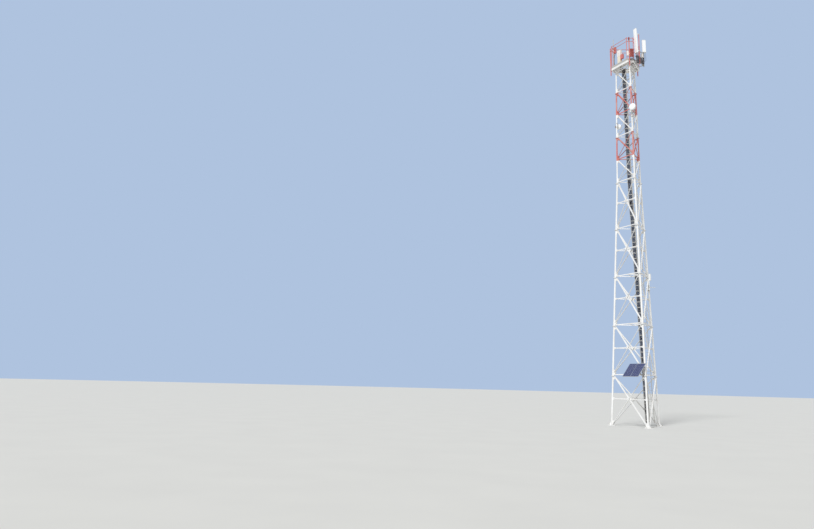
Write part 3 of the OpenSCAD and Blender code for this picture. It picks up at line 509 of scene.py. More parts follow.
def wire(points, radius, rounded=False):
    """A round bar, or a cable that curves through its points."""
    bpy.ops.curve.primitive_bezier_curve_add()
    piece = bpy.context.active_object
    path = piece.data
    path.splines.clear()
    spline = path.splines.new("BEZIER" if rounded else "POLY")
    knots = spline.bezier_points if rounded else spline.points
    knots.add(len(points) - 1)
    for knot, point in zip(knots, points):
        knot.co = point if rounded else (*point, 1)
        if rounded:
            knot.handle_left_type = knot.handle_right_type = "AUTO"
    path.dimensions = "3D"
    path.resolution_u = 6
    path.bevel_depth = radius
    path.bevel_resolution = 1
    path.use_fill_caps = True
    choose(piece)
    bpy.ops.object.convert(target="MESH")
    return bpy.context.active_object


def cable(place, points):
    """A cable through points in the frame of a place."""
    return wire([place @ Vector(point) for point in points], CABLE_R, rounded=True)


def domed_cap(radius, height):
    """A pressed cap: a short skirt under a shallow dome."""
    piece = rod(radius, 0, 0.4 * height, sides=24)
    shape(piece, lambda normal: normal.z > 0.99)
    for rise, narrower in ((0.25, 0.93), (0.2, 0.75), (0.15, 0.5)):
        extrude(z=rise * height)
        bpy.ops.transform.resize(value=(narrower, narrower, 1), center_override=(0, 0, 0))
    done()
    return piece


def join(parts):
    """Joins parts into one, with their places in the mesh."""
    choose(*parts)
    if len(parts) > 1:
        bpy.ops.object.join()
    bpy.ops.object.transform_apply()
    return bpy.context.active_object


def copies(source, places):
    """Sets a copy of the source, with its own mesh, at each place and joins them."""
    made = []
    for place in places:
        twin = source.copy()
        twin.data = source.data.copy()
        twin.matrix_world = place
        bpy.context.collection.objects.link(twin)
        made.append(twin)
    bpy.data.objects.remove(source)
    if not made:
        raise RuntimeError("a piece has no place to stand")
    return join(made)


def finish(piece, name, finish_name="zinc", slot=None):
    """Gives a modelled piece its name, shading, material and body; its slot is worked out but not given."""
    slot = slot or USUAL_SLOT[finish_name]
    choose(piece)
    bpy.ops.object.transform_apply()
    bpy.ops.object.shade_smooth_by_angle(angle=SMOOTH_BELOW)
    piece.name = name
    piece.data.name = name
    piece.data.materials.clear()
    piece.data.materials.append(Finishes.get(finish_name))
    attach(piece, "root")


def fit(source, places, name, finish_name="zinc", slot=None):
    """Sets the source at its places as one finished piece."""
    finish(copies(source, places), name, finish_name, slot)


def bolt(d, grip):
    """A hexagon bolt along Z, its grip about the origin: head above, nut and thread end below."""
    top, under = grip / 2, -grip / 2
    washer = 0.15 * d
    return join([
        rod(0.95 * d, top, top + washer),
        rod(0.87 * d, top + washer, top + washer + 0.65 * d, sides=6, rim=0.06 * d),
        rod(0.95 * d, under - washer, under),
        rod(0.87 * d, under - washer - 0.8 * d, under - washer, sides=6, rim=0.06 * d),
        rod(0.5 * d, under - washer - 1.2 * d, under - washer - 0.8 * d, sides=8),
    ])


def bolt_head(d, height=0.8, sides=16):
    """A hexagon head or nut on its washer, standing on the XY plane; height counts diameters."""
    return join([rod(0.95 * d, 0, 0.15 * d, sides=sides),
                 rod(0.87 * d, 0.15 * d, height * d, sides=6, rim=0.06 * d)])


def u_bolt(pipe_d, bar_d, leg):
    """A U-bolt round an upright pipe at the origin: its bow toward -X, its nuts at x = leg."""
    r = (pipe_d + bar_d) / 2
    bow = [(-r * math.sin(math.radians(a)), r * math.cos(math.radians(a)), 0)
           for a in range(0, 181, 20)]
    bar = wire([(leg + bar_d, r, 0), *bow, (leg + bar_d, -r, 0)], bar_d / 2)
    nuts = copies(bolt_head(bar_d, 0.95, 12), [at(leg, y) @ turn(90, "Y") for y in (r, -r)])
    return join([bar, nuts])


def ties(radius, places):
    """Ties that hold cables along a pipe."""
    return copies(band(radius, -TIE_HALF, TIE_HALF, TIE_THICK), places)


def weld_bead(radius, size):
    """A ring of weld, slightly uneven."""
    bpy.ops.mesh.primitive_torus_add(major_radius=radius, minor_radius=size, major_segments=40,
                                     minor_segments=6)
    piece = bpy.context.active_object
    shape(piece, every_face)
    bpy.ops.transform.vertex_random(offset=size * 0.12, seed=7)
    done()
    return piece


class Tower:
    """Frames of reference of the tower, worked out from its driving sizes. Part 0 is below the waist."""

    top_drop, flange_drop = 0.130, 0.112
    # The sector frame: its azimuth, its antenna pipes' and cross pipes' radii, and the pipes' places
    sector_azimuth, sector_r, cross_r = 315, 1.300, 1.232
    tall_t, short_t = -0.160, 0.530
    # Distance of the deck's sides and of its corners from the axis
    deck_a, deck_rc = 0.860, 1.200
    pole_x = 1.3045
    # Shift of each corner pole along its side, by azimuth
    pole_shifts = {-90: -0.110, 30: 0, 150: 0.100}

    def __init__(self):
        size = sizes()
        self.bay, self.panel, self.bays, self.panels = size.bay, size.panel, size.bays, size.panels
        self.foot_z = (0.0, size.bays * size.bay)
        self.rise = (self.foot_z[1], size.panels * size.panel)
        self.top_z = sum(self.rise)
        self.foot_r = (size.base_r, size.waist_r)
        self.end_r = (size.waist_r, size.top_r)
        slopes = [(foot - end) / rise for foot, end, rise in zip(self.foot_r, self.end_r, self.rise)]
        self.lean = [math.atan(slope) for slope in slopes]
        self.tilt = [math.atan(slope / 2) for slope in slopes]
        self.run = [rise / math.cos(tilt) for rise, tilt in zip(self.rise, self.tilt)]
        self.waist_joint = self.foot_z[1] - self.flange_drop

    def axis(self, z=0.0):
        return at(0, self.foot_r[0], z)

    def radius(self, z):
        part = 0 if z <= self.foot_z[1] else 1
        share = (z - self.foot_z[part]) / self.rise[part]
        return self.foot_r[part] + (self.end_r[part] - self.foot_r[part]) * share

    def face(self, azimuth, part):
        return (self.axis(self.foot_z[part]) @ turn(azimuth) @ at(self.foot_r[part] / 2)
                @ tip(-self.tilt[part]))

    def leg(self, azimuth, part):
        return (self.axis(self.foot_z[part]) @ turn(azimuth) @ at(self.foot_r[part])
                @ tip(-self.lean[part]))

    def off_leg(self, z, azimuth, swing, reach):
        """A pipe held beside a leg by an arm that swings from straight outward."""
        return self.axis(z) @ turn(azimuth) @ at(self.radius(z)) @ turn(swing) @ at(reach)

    def dish_pipe(self):
        return self.off_leg(25.9, -90, 30, 0.300)

    def small_dish_pipe(self):
        return self.off_leg(25.05, 150, -90, 0.230)

    def side_pipe(self):
        return self.off_leg(11.1, 30, -122, 0.200)

    def half(self, w, part):
        foot, end = self.foot_r[part], self.end_r[part]
        return (foot + (end - foot) * w / self.run[part]) * math.cos(math.radians(30))

    def level(self, step, part):
        if part == 0:
            return step * self.bay / math.cos(self.tilt[0])
        lowered = self.top_drop if step == self.panels else 0
        return (step * self.panel - lowered) / math.cos(self.tilt[1])

    def crossing(self, step, part):
        """A panel's two levels, its half widths there and the level at which its bars cross."""
        low, high = self.level(step, part), self.level(step + 1, part)
        wide, narrow = self.half(low, part), self.half(high, part)
        return low, high, wide, narrow, low + (high - low) * wide / (wide + narrow)

    def beside(self, part):
        """Along the right leg in the back face: X outward, Y toward the left leg."""
        narrower = self.half(0, part) - self.half(self.run[part], part)
        return (self.face(90, part) @ at(0, -self.half(0, part))
                @ tip(-math.atan(narrower / self.run[part]), "X"))

    def sector(self, t, z=0.0, r=sector_r):
        return self.axis(self.top_z) @ turn(self.sector_azimuth) @ at(r, t, z)

    def deck(self, azimuth, n=0.0, s=0.0, z=0.0):
        return self.axis(self.top_z) @ turn(azimuth) @ at(n, s, z)

    def pole(self, azimuth, z=0.0):
        return self.deck(azimuth, self.pole_x, self.pole_shifts[azimuth], z)

    def radio_pipe(self, z=0.0):
        return self.deck(210, 0.743, -0.673, z)

    def deck_outline(self, inset):
        """Corners of the deck's edge, drawn in by inset, about the tower axis."""
        a, rc = self.deck_a - inset, self.deck_rc - inset
        side = (a - rc / 2) / math.cos(math.radians(30))
        return [turn(azimuth) @ Vector((rc, s * side, 0)) for azimuth in LEGS.values() for s in (-1, 1)]


# Steps

class TowerStep(bpy.types.Operator):
    """A step that works from the tower's frames and stops the script if it can't"""

    bl_idname = "tower.step"
    bl_label = "Step"

    def build(self, tower):
        raise NotImplementedError(self.bl_idname)

    def execute(self, context):
        self.build(Tower())
        return {"FINISHED"}


class TOWER_OT_finish_steel(TowerStep):
    """Give every node of the construction its finish"""

    bl_idname = "tower.finish_steel"
    bl_label = "Finish the construction"

    def build(self, tower):
        for name, node in NODES.items():
            node.data.materials.clear()
            node.data.materials.append(Finishes.get(finish_of(name)))


class TOWER_OT_leg_fasteners(TowerStep):
    """Bolt the leg flanges, anchor the feet and lay the welds"""

    bl_idname = "tower.leg_fasteners"
    bl_label = "Leg fasteners"

    flange_grip = 0.052
    base_top = 0.040
    upper_joints = (2, 4)
    # For each part: name, slot, bolt diameter, the bolts' ring (count, radius, first angle), weld
    parts = (("lower", "white_paint", 0.020, (12, 0.108, 15), (0.071, 0.006)),
             ("upper", "red_paint", 0.016, (8, 0.091, 0), (0.058, 0.005)))

    def joints(self, tower, azimuth, part):
        """Middles of a leg's flange joints; the lower part's last one is the waist."""
        steps, pitch = ((range(1, tower.bays), tower.bay), (self.upper_joints, tower.panel))[part]
        found = [tower.leg(azimuth, part) @ at(z=(k * pitch - tower.flange_drop)
                                               / math.cos(tower.lean[part])) for k in steps]
        if part == 0:
            z = tower.waist_joint
            found.append(tower.axis(z) @ turn(azimuth) @ at(tower.radius(z)))
        return found

    def build(self, tower):
        feet = [tower.axis(self.base_top) @ turn(a) @ at(tower.foot_r[0]) for a in LEGS.values()]
        half_grip = self.flange_grip / 2
        for part, (name, slot, d, bolts, weld) in enumerate(self.parts):
            joints = [joint for a in LEGS.values() for joint in self.joints(tower, a, part)]
            fit(bolt(d, self.flange_grip), nested(joints, ring(*bolts)), name + "_flange_bolts",
                "plated", slot)
            beads = nested(joints, [at(z=half_grip), at(z=-half_grip)])
            fit(weld_bead(*weld), beads + (feet if part == 0 else []), name + "_leg_welds",
                "enamel", slot)
        anchor = join([
            block((0.070, 0.070, 0.010), (0, 0, 0.005), 0.002),
            rod(0.031, 0.010, 0.039, sides=6, rim=0.003),
            rod(0.031, 0.041, 0.066, sides=6, rim=0.003),
            rod(0.018, -0.038, 0.095, rim=0.003),
        ])
        fit(anchor, nested(feet, ring(4, 0.215, 45)), "anchor_bolts")


class TOWER_OT_bracing_bolts(TowerStep):
    """Bolt the bracing to the gussets and to itself"""

    bl_idname = "tower.bracing_bolts"
    bl_label = "Bracing bolts"

    gusset = 0.012
    # For each part: bar thickness, level bar thickness, bolt places from a joint, and from a leg
    details = ((0.008, 0.006, (0.280, 0.335), (0.140, 0.200)),
               (0.006, 0.006, (0.225, 0.275), (0.120, 0.165)))
    # In the lower part, bolt places from a crossing: along the diagonals, and along the level bar
    cross_bolts, middle_bolts = (-0.060, 0.060), [0.170, 0.204]

    def along(self, start, end, distances):
        """Points at these distances from start toward end, in a face."""
        way = (end - start).normalized()
        return [start + way * d for d in distances]

    def panel_points(self, tower, part, step):
        """Bolt points of one panel: (side of the gusset, grip beside it, place in the face)."""
        bar, level_bar, seats, leg_seats = self.details[part]
        low, high, wide, narrow, middle = tower.crossing(step, part)
        points = []
        for side, hand in ((1, -1), (-1, 1)):
            start, end = Vector((hand * wide, low)), Vector((-hand * narrow, high))
            spots = self.along(start, end, seats) + self.along(end, start, seats)
            if part == 0:
                centre = start + (end - start) * wide / (wide + narrow)
                spots += self.along(centre, end, self.cross_bolts)
            points += [(side, bar, spot) for spot in spots]
        if part == 0:
            spots = [tower.half(middle, 0) - d for d in leg_seats] + self.middle_bolts
            points += [(-1, level_bar, Vector((hand * u, middle))) for hand in (1, -1) for u in spots]
        return points

    def level_points(self, tower, part, step):
        level = tower.level(step, part)
        return [(-1, self.details[part][1], Vector((hand * (tower.half(level, part) - d), level)))
                for hand in (1, -1) for d in self.details[part][3]]

    def places(self, tower, part):
        steps = range(tower.bays if part == 0 else tower.panels)
        levels = range(1, tower.bays) if part == 0 else range(tower.panels + 1)
        points = [p for k in steps for p in self.panel_points(tower, part, k)]
        points += [p for k in levels for p in self.level_points(tower, part, k)]
        return nested([tower.face(azimuth, part) for azimuth in FACES.values()],
                      [at(side * bar / 2, u, w) @ turn(90, "Y") for side, bar, (u, w) in points])

    def build(self, tower):
        for part, (name, slot) in enumerate((("lower", "white_paint"), ("upper", "red_paint"))):
            grip = self.gusset + self.details[part][0]
            fit(bolt(0.016, grip), self.places(tower, part), name + "_bracing_bolts", "plated", slot)
        middles = [at(z=tower.crossing(j, 1)[-1]) @ turn(90, "Y") for j in range(tower.panels)]
        fit(bolt(0.020, self.gusset + 0.012), nested([tower.face(a, 1) for a in FACES.values()], middles),
            "upper_crossing_bolts", "plated", "red_paint")


class TOWER_OT_ladder_fittings(TowerStep):
    """Splice the ladders and bolt the cable clamps"""

    bl_idname = "tower.ladder_fittings"
    bl_label = "Ladder fittings"

    # Middle and half width of the climbing ladder and of the cable ladder, along the back face
    climb, feeder = (0.600, 0.200), (0.970, 0.150)
    rail_n, strap_n = -0.175, -0.238
    strap_half, clamp_pitch = 0.138, 0.450
    splice_bolts = (-0.090, -0.040, 0.040, 0.090)
    upper_splices = (3.2, 6.8, 9.3)

    def splice(self):
        plate = block((0.044, 0.006, 0.240), (0, 0.003, 0), 0.0015)
        return join([plate, copies(bolt_head(0.012), [at(0, 0.006, z) @ turn(-90, "X")
                                                      for z in self.splice_bolts])])

    def build(self, tower):
        lower_splices = [tower.bay * (k + 0.35) for k in range(tower.bays)]
        splices, straps = [], []
        for part, heights, low, high in ((0, lower_splices, 0.500, tower.run[0] - 0.180),
                                         (1, self.upper_splices, 0.200, tower.run[1])):
            beside = tower.beside(part)
            for middle, half in (self.climb, self.feeder):
                splices += nested(up(beside, heights), [at(self.rail_n, middle + half),
                                                        at(self.rail_n, middle - half) @ turn(180)])
            rows = int((high - low) / self.clamp_pitch + 0.01) + 1
            straps += [beside @ at(self.strap_n, self.feeder[0] + y, low + i * self.clamp_pitch)
                       @ turn(-90, "Y") for i in range(rows) for y in (self.strap_half, -self.strap_half)]
        fit(self.splice(), splices, "ladder_splices")
        fit(bolt_head(0.010), straps, "cable_clamp_bolts", "plated")
        ribs = copies(block((0.003, 0.236, 0.006), rounding=0.001), [at(z=-0.018), at(z=0.018)])
        middles = nested(straps[::2], [turn(90, "Y") @ at(-0.0015, -self.strap_half)])
        fit(ribs, middles, "cable_clamp_beads")


class TOWER_OT_platform_fittings(TowerStep):
    """Fill the grating, cap the rail posts and bolt the kick plate"""

    bl_idname = "tower.platform_fittings"
    bl_label = "Platform fittings"

    grate_low, pitch = 0.160, 0.080
    hatch_x, hatch_y = (-0.370, 0.420), (-0.300, 0.385)
    # How far the grating's bars, and the railing, stand in from the deck's edge
    bars_in, rail_in = 0.069, 0.036
    post_top, rails, tube_r = 2.242, (1.900, 2.200), 0.030
    kick_rows, kick_pitch, kick_end = (0.215, 0.300), 0.42, 0.060

    def span(self, corners, y):
        """Where the line at y enters and leaves an outline."""
        hits = [p.x + (q.x - p.x) * (y - p.y) / (q.y - p.y)
                for p, q in sides_of(corners) if (p.y - y) * (q.y - y) < 0]
        return (min(hits), max(hits)) if hits else None

    def bars(self, tower):
        corners = tower.deck_outline(self.bars_in)
        found = []
        for i in range(-16, 16):
            y = (i + 0.5) * self.pitch
            reach = self.span(corners, y)
            if not reach:
                continue
            inside = self.hatch_y[0] < y < self.hatch_y[1]
            cuts = ((reach[0], self.hatch_x[0]), (self.hatch_x[1], reach[1]))
            found += [block((high - low, 0.003, 0.024), ((low + high) / 2, y, 0.176), 0.0008, 1)
                      for low, high in (cuts if inside else (reach,)) if high - low > 0.05]
        return join(found)

    def kick_bolts(self, tower):
        places = []
        for p, q in sides_of(tower.deck_outline(0)):
            way = (q - p).normalized()
            length = (q - p).length
            out = facing(Vector((way.y, -way.x, 0)))
            count = max(2, round(length / self.kick_pitch) + 1)
            for i in range(count):
                spot = p + way * (self.kick_end + (length - 2 * self.kick_end) * i / (count - 1))
                places += [tower.axis(tower.top_z) @ at(spot.x, spot.y, z) @ out
                           for z in self.kick_rows]
        return places

    def build(self, tower):
        deck = tower.axis(tower.top_z)
        fit(self.bars(tower), [deck], "grating_bars")
        corners = tower.deck_outline(self.rail_in)
        posts = [deck @ at(*corner) for corner in corners]
        for source, z, name in ((domed_cap(0.032, 0.026), self.post_top, "rail_post_caps"),
                                (weld_bead(0.031, 0.005), self.grate_low, "rail_post_welds")):
            fit(source, nested(posts, [at(z=z)]), name, "plain_red")
        rail_ends = []
        for p, q in sides_of(corners):
            way = (q - p).normalized()
            for end in (p + way * self.tube_r, q - way * self.tube_r):
                rail_ends += nested(up(deck @ at(*end), self.rails), [facing(way)])
        fit(weld_bead(0.0215, 0.004), rail_ends, "rail_end_welds", "plain_red")
        fit(bolt_head(0.012), self.kick_bolts(tower), "kick_plate_bolts", "plated")


class TOWER_OT_pole_fittings(TowerStep):
    """Cap the poles and pipes and clamp them to their arms"""

    bl_idname = "tower.pole_fittings"
    bl_label = "Pole fittings"

    # The sector frame's cross pipes: height, radius and start; all end alike
    cross_pipes = ((0.080, 0.032, -0.800), (0.420, 0.024, -0.800), (1.150, 0.032, -0.230))
    cross_end = 0.680
    arm_places = (-0.800, -0.250, 0.300)

    def caps(self, tower):
        """Ends of the open pipes: (place, radius)."""
        found = [(tower.pole(30, 2.140), 0.0465), (tower.pole(150, 2.140), 0.0465),
                 (tower.sector(tower.tall_t, 2.6548), 0.040), (tower.sector(tower.short_t, 2.2132), 0.040),
                 (tower.radio_pipe(2.770), 0.032), (tower.dish_pipe() @ at(z=0.140), 0.040),
                 (tower.small_dish_pipe() @ at(z=0.240), 0.032), (tower.side_pipe() @ at(z=1.100), 0.027)]
        for z, radius, start in self.cross_pipes:
            for end, way in ((start, 90), (self.cross_end, -90)):
                found.append((tower.sector(end, z, tower.cross_r) @ turn(way, "X"), radius))
        return found

    def crossover(self, pipe_d, cross_d):
        """Back plate and two U-bolts that hold an upright pipe to a pipe behind it."""
        back = -(pipe_d / 2 + cross_d + 0.004)
        beyond = cross_d / 2 + 0.014
        plate = block((0.008, 0.140, 0.150), (back, 0, 0), 0.0015)
        return join([plate, copies(u_bolt(pipe_d, 0.012, 0.004 - back), up(turn(180), (-beyond, beyond)))])

    def build(self, tower):
        caps = [copies(domed_cap(radius, 0.016), [place]) for place, radius in self.caps(tower)]
        finish(join(caps), "pipe_caps", "cap_rubber")
        plate = block((0.010, 0.150, 0.070), (-0.0495, 0, 0), 0.0015)
        bows = copies(u_bolt(0.089, 0.014, 0.0545), up(turn(180), (-0.022, 0.022)))
        saddles = [tower.pole(azimuth, z) for azimuth in LEGS.values() for z in (0.080, 1.900)]
        fit(join([plate, bows]), saddles, "pole_saddles")
        pipes = (tower.tall_t, tower.short_t)
        clamps = [copies(self.crossover(0.076, cross_d), [tower.sector(t, z) for t in pipes for z in rows])
                  for cross_d, rows in ((0.060, (0.080, 1.150)), (0.044, (0.420,)))]
        finish(join(clamps), "crossover_clamps")
        corners = [at(0, y, z) @ turn(90, "Y") for y in (-0.042, 0.042) for z in (-0.042, 0.042)]
        fit(bolt_head(0.014), nested([tower.deck(330, 0.872, s, 0.080) for s in self.arm_places], corners),
            "arm_plate_bolts", "plated")


class TOWER_OT_antenna_fittings(TowerStep):
    """Fit the panel antennas' end caps, back rails, clamps and jumper cables"""

    bl_idname = "tower.antenna_fittings"
    bl_label = "Antenna fittings"

    width, depth, front_r = 0.300, 0.120, 0.035
    # Place along the sector, azimuth, foot, height, back from the pipe, tilt, bracket heights
    antennas = ((Tower.tall_t, 205, 0.850, 2.180, 0.238, 2.5, (0.2616, 1.7658)),
                (Tower.short_t, 275, 1.130, 1.120, 0.128, 0.0, (0.1344, 0.9632)))
    ports = (-0.090, -0.030, 0.030, 0.090)
    jumper_end, first_tie = 0.560, 0.600

    def end_cap(self):
        """Moulded cap a little larger than the radome, its front corners rounded alike."""
        cap = block((self.depth + 0.004, self.width + 0.004, 0.034), (self.depth / 2, 0, 0))
        front = self.depth * 0.9
        shape(cap, edge_test=lambda a, b: min(a.x, b.x) > front and abs(a.z - b.z) > 0.01)
        bpy.ops.mesh.bevel(offset=self.front_r + 0.002, segments=6, affect="EDGES")
        done()
        bevel(cap, ends, 0.004)
        return cap

    def clamp(self):
        """Two jaws on threaded rods round a pipe at the origin."""
        jaws = [block((0.010, 0.136, 0.046), (x, 0, 0), 0.003) for x in (-0.055, 0.044)]
        nuts = [rod(0.0105, z, z + 0.009, sides=6, rim=0.001) for z in (-0.070, 0.050, 0.0)]
        stud = join([rod(0.006, -0.078, 0.066, sides=8), *nuts])
        return join([*jaws, copies(stud, [at(0, y) @ turn(90, "Y") for y in (-0.058, 0.058)])])

    def connector(self):
        """Coupling nut and boot under an antenna, with the start of its cable."""
        return join([rod(0.0165, -0.078, -0.048, sides=6, rim=0.002),
                     rod(0.012, -0.115, -0.078, sides=12, rim=0.003)])

    def jumper(self, tower, start, lane, sag):
        """A cable from a connector to its lane beside the pipe, and down."""
        beside = [Vector((lane.x, lane.y, z)) for z in (start.z - 0.330, tower.top_z + self.jumper_end)]
        return cable(at(), [start, start + drop(0.060), (start + lane) / 2 + drop(sag), *beside])

    def build(self, tower):
        caps, rails, clamps, plugs, jumpers, tie_places = [], [], [], [], [], []
        for t, azimuth, foot, height, back, tilt, brackets in self.antennas:
            pipe = tower.sector(t, foot) @ turn(azimuth - tower.sector_azimuth)
            body = pipe @ at(back) @ turn(tilt, "Y")
            caps += up(body, (0.015, height - 0.015))
            rails += [body @ at(-0.009, y, height / 2) @ Matrix.Diagonal((1, 1, height - 0.16, 1))
                      for y in (-0.095, 0.095)]
            clamps += up(pipe, brackets)
            plugs += [body @ at(self.depth / 2, y) for y in self.ports]
            for i, y in enumerate(self.ports):
                lane = tower.sector(t) @ turn(200 + 35 * i) @ Vector((0.045, 0, 0))
                jumpers.append(self.jumper(tower, body @ Vector((self.depth / 2, y, -0.105)), lane,
                                           0.150 + 0.02 * i))
            gap = (foot - self.jumper_end - 0.5) / 2
            tie_places += up(tower.sector(t), [self.first_tie + gap * i for i in range(3)])
        fit(self.end_cap(), caps, "antenna_end_caps", "cap_plastic", "radome")
        fit(block((0.018, 0.026, 1.0), rounding=0.003), rails, "antenna_back_rails", "anodised")
        fit(self.clamp(), clamps, "antenna_clamps")
        fit(self.connector(), plugs, "antenna_connectors", "plated")
        finish(join(jumpers), "antenna_jumpers", "sheath")
        finish(ties(0.0525, tie_places), "jumper_ties", "cap_rubber")


class TOWER_OT_radio_fittings(TowerStep):
    """Give the radio units their fins, handles, ports and screws"""

    bl_idname = "tower.radio_fittings"
    bl_label = "Radio fittings"

    # The dark units, their dark colour partly painted shade of the platform's shaded right side and
    # underside: place along the sector, width, foot and height
    dark = ((-0.605, 0.250, -0.150, 0.650), (-0.045, 0.140, 0, 0.520), (0.315, 0.150, 0.060, 0.420))
    port_shares = (-0.3, -0.1, 0.1, 0.3)
    # How the cables of the two red units turn round their pipes, and how far out they run
    front_lane, back_lane = 0.052, 0.0375

    def units(self, tower):
        """Place, gap to the pipe, skin, and width, depth and height of each unit."""
        front = tower.pole(-90)
        return [(tower.sector(tower.short_t, 0.700) @ turn(-120), 0.063, "white", (0.200, 0.110, 0.390)),
                (front @ turn(-90) @ at(z=0.530), 0.0645, "white", (0.120, 0.150, 0.410)),
                (tower.radio_pipe(1.520) @ turn(180), 0.055, "red", (0.300, 0.130, 0.570)),
                (front @ at(0, 0.150, 0.380), 0.0665, "red", (0.320, 0.170, 0.700)),
                *[(tower.sector(t, foot, tower.cross_r), 0.056, "dark", (width, 0.150, height))
                  for t, width, foot, height in self.dark]]

    def fins(self, width, depth, height):
        """Thin fins between the seven thick ones, and a flat rim at top and bottom."""
        pitch = (width - 0.008) / 6
        shares = (1 / 3, 2 / 3) if pitch > 0.03 else (0.5,)
        fin = block((depth * 0.38, 0.0025, height * 0.86), (depth * 0.79, 0, height / 2), 0.0008, 1)
        places = [at(0, -width / 2 + 0.004 + pitch * (i + share)) for i in range(6) for share in shares]
        rims = [block((depth * 0.32, width, 0.006), (depth * 0.76, 0, z), 0.0015)
                for z in (height * 0.045, height * 0.955)]
        return join([copies(fin, places), *rims])

    def handle(self, width, depth, height):
        """A bow over the unit's top, its corners cut."""
        x, reach = depth * 0.3, width * 0.28
        half = ((-reach, -0.004), (-reach, 0.028), (0.012 - reach, 0.038))
        return wire([(x, y, height + z) for y, z in half]
                    + [(x, -y, height + z) for y, z in reversed(half)], 0.0055)

    def ports(self, width, depth, height):
        return join([rod(radius, low, high, x=depth * 0.3, y=width * share, sides=sides, rim=0.002)
                     for radius, low, high, sides in ((0.0125, -0.026, 0, 12), (0.0155, -0.046, -0.024, 6))
                     for share in self.port_shares])

    def screws(self, width, depth, height):
        places = [at(x, side * width / 2, z) @ turn(-90 * side, "X")
                  for side in (1, -1) for x in (depth * 0.1, depth * 0.5)
                  for z in (height * 0.06, height * 0.35, height * 0.65, height * 0.94)]
        return copies(rod(0.006, 0, 0.003, sides=12, rim=0.001), places)

    def build(self, tower):
        skins = {"white": [], "red": [], "dark": []}
        details = {"handles": [], "ports": [], "screws": []}
        for pipe, gap, skin, size in self.units(tower):
            place = pipe @ at(gap)
            skins[skin].append(copies(self.fins(*size), [place]))
            for name, make in (("handles", self.handle), ("ports", self.ports), ("screws", self.screws)):
                details[name].append(copies(make(*size), [place]))
        for skin, parts in skins.items():
            # The dark units' fins take the dark coat, whose dark colour is partly painted shade
            finish(join(parts), f"{skin}_radio_fins", f"{skin}_coat", f"radio_{skin}_paint")
        for name, parts in details.items():
            finish(join(parts), "radio_" + name, "anodised" if name == "handles" else "plated")
        self.run_cables(tower)

    def run_cables(self, tower):
        """Cables from the two red units down their pipes, held by ties."""
        runs = []
        front, pipe = tower.pole(-90), tower.radio_pipe()
        for i in range(4):
            lane = turn(160 + 28 * i) @ Vector((self.front_lane, 0, 0))
            port = Vector((0.1175, 0.054 + 0.064 * i, 0.338))
            runs.append(cable(front, [port, port + drop(0.060), (port + lane * 0.6) * 0.6 + drop(0.02),
                                      (lane.x, lane.y, 0.060), (lane.x, lane.y, -0.260)]))
            lane = turn(120 - 22 * i) @ Vector((self.back_lane, 0, 0))
            port = Vector((-0.094, 0.090 - 0.060 * i, 1.478))
            runs.append(cable(pipe, [port, port + drop(0.080), (lane.x * 1.6, lane.y * 1.6, 1.300),
                                     (lane.x, lane.y, 1.100), (lane.x, lane.y, 0.230)]))
        finish(join(runs), "radio_cables", "sheath")
        held = [ties(0.0595, up(front, (-0.05, -0.22))), ties(0.0450, up(pipe, (0.300, 0.560, 0.820, 1.080)))]
        finish(join(held), "radio_cable_ties", "cap_rubber")


class TOWER_OT_cabinet_fittings(TowerStep):
    """Give the cabinet its doors, hood, hinges, latch and louvres"""

    bl_idname = "tower.cabinet_fittings"
    bl_label = "Cabinet fittings"

    middle = 0.170
    # Hinges: distance in from the edge, and heights. Louvres: back plane, first height and count
    hinges = ((0.006, (0.90, 1.24)), (0.018, (0.12, 0.41, 0.70)))
    louvres, louvre_pitch = ((0.2095, 0.880, 8), (0.1995, 0.080, 6)), 0.030

    def door(self, width, height):
        """A pressed door: a raised panel in a folded edge."""
        door = block((0.016, width, height), (-0.008, 0, 0), 0.003)
        shape(door, lambda normal: normal.x < -0.9)
        for edge, depth in ((0.035, 0.006), (0.006, -0.004)):
            bpy.ops.mesh.inset(thickness=edge)
            extrude(depth)
        done()
        return door

    def hood(self):
        """A lid with a turned-down rim."""
        hood = block((0.246, 0.376, 0.012), (0.105, self.middle, 1.352), 0.003)
        shape(hood, lambda normal: normal.z < -0.9)
        bpy.ops.mesh.inset(thickness=0.006)
        extrude(z=0.004)
        done()
        return hood

    def louvre(self):
        """A pressed vent slat, open below."""
        slat = block((0.010, 0.110, 0.016), (0.004, 0, 0))
        shape(slat, lambda normal: normal.z > 0.9)
        bpy.ops.transform.resize(value=(0.15, 0.96, 1), center_override=(0, 0, 0.008))
        done()
        return slat

    def build(self, tower):
        case = tower.deck(210, 0.584, -0.260, 0.190)
        upper, lower = case @ at(0, self.middle, 1.070), case @ at(0, self.middle, 0.410)
        doors = [copies(self.door(0.316, 0.480), [upper]), copies(self.door(0.296, 0.720), [lower])]
        finish(join(doors), "cabinet_doors", "cabinet_coat")
        fit(self.hood(), [case], "cabinet_hood", "white_coat")
        hinge = join([rod(0.006, -0.030, 0.030, rim=0.001), rod(0.0075, -0.009, 0.009)])
        hinges = copies(hinge, [case @ at(-0.010, y, z) for y, rows in self.hinges for z in rows])
        latch = join([block((0.012, 0.030, 0.110), rounding=0.004),
                      block((0.014, 0.014, 0.050), (-0.008, 0, -0.015), 0.004)])
        latches = copies(latch, [upper @ at(-0.019, 0.138), lower @ at(-0.019, 0.128)])
        finish(join([hinges, latches]), "cabinet_ironwork", "plated")
        slats = [case @ at(x, self.middle, z + self.louvre_pitch * i)
                 for x, z, count in self.louvres for i in range(count)]
        fit(self.louvre(), slats, "cabinet_louvres", "white_coat")


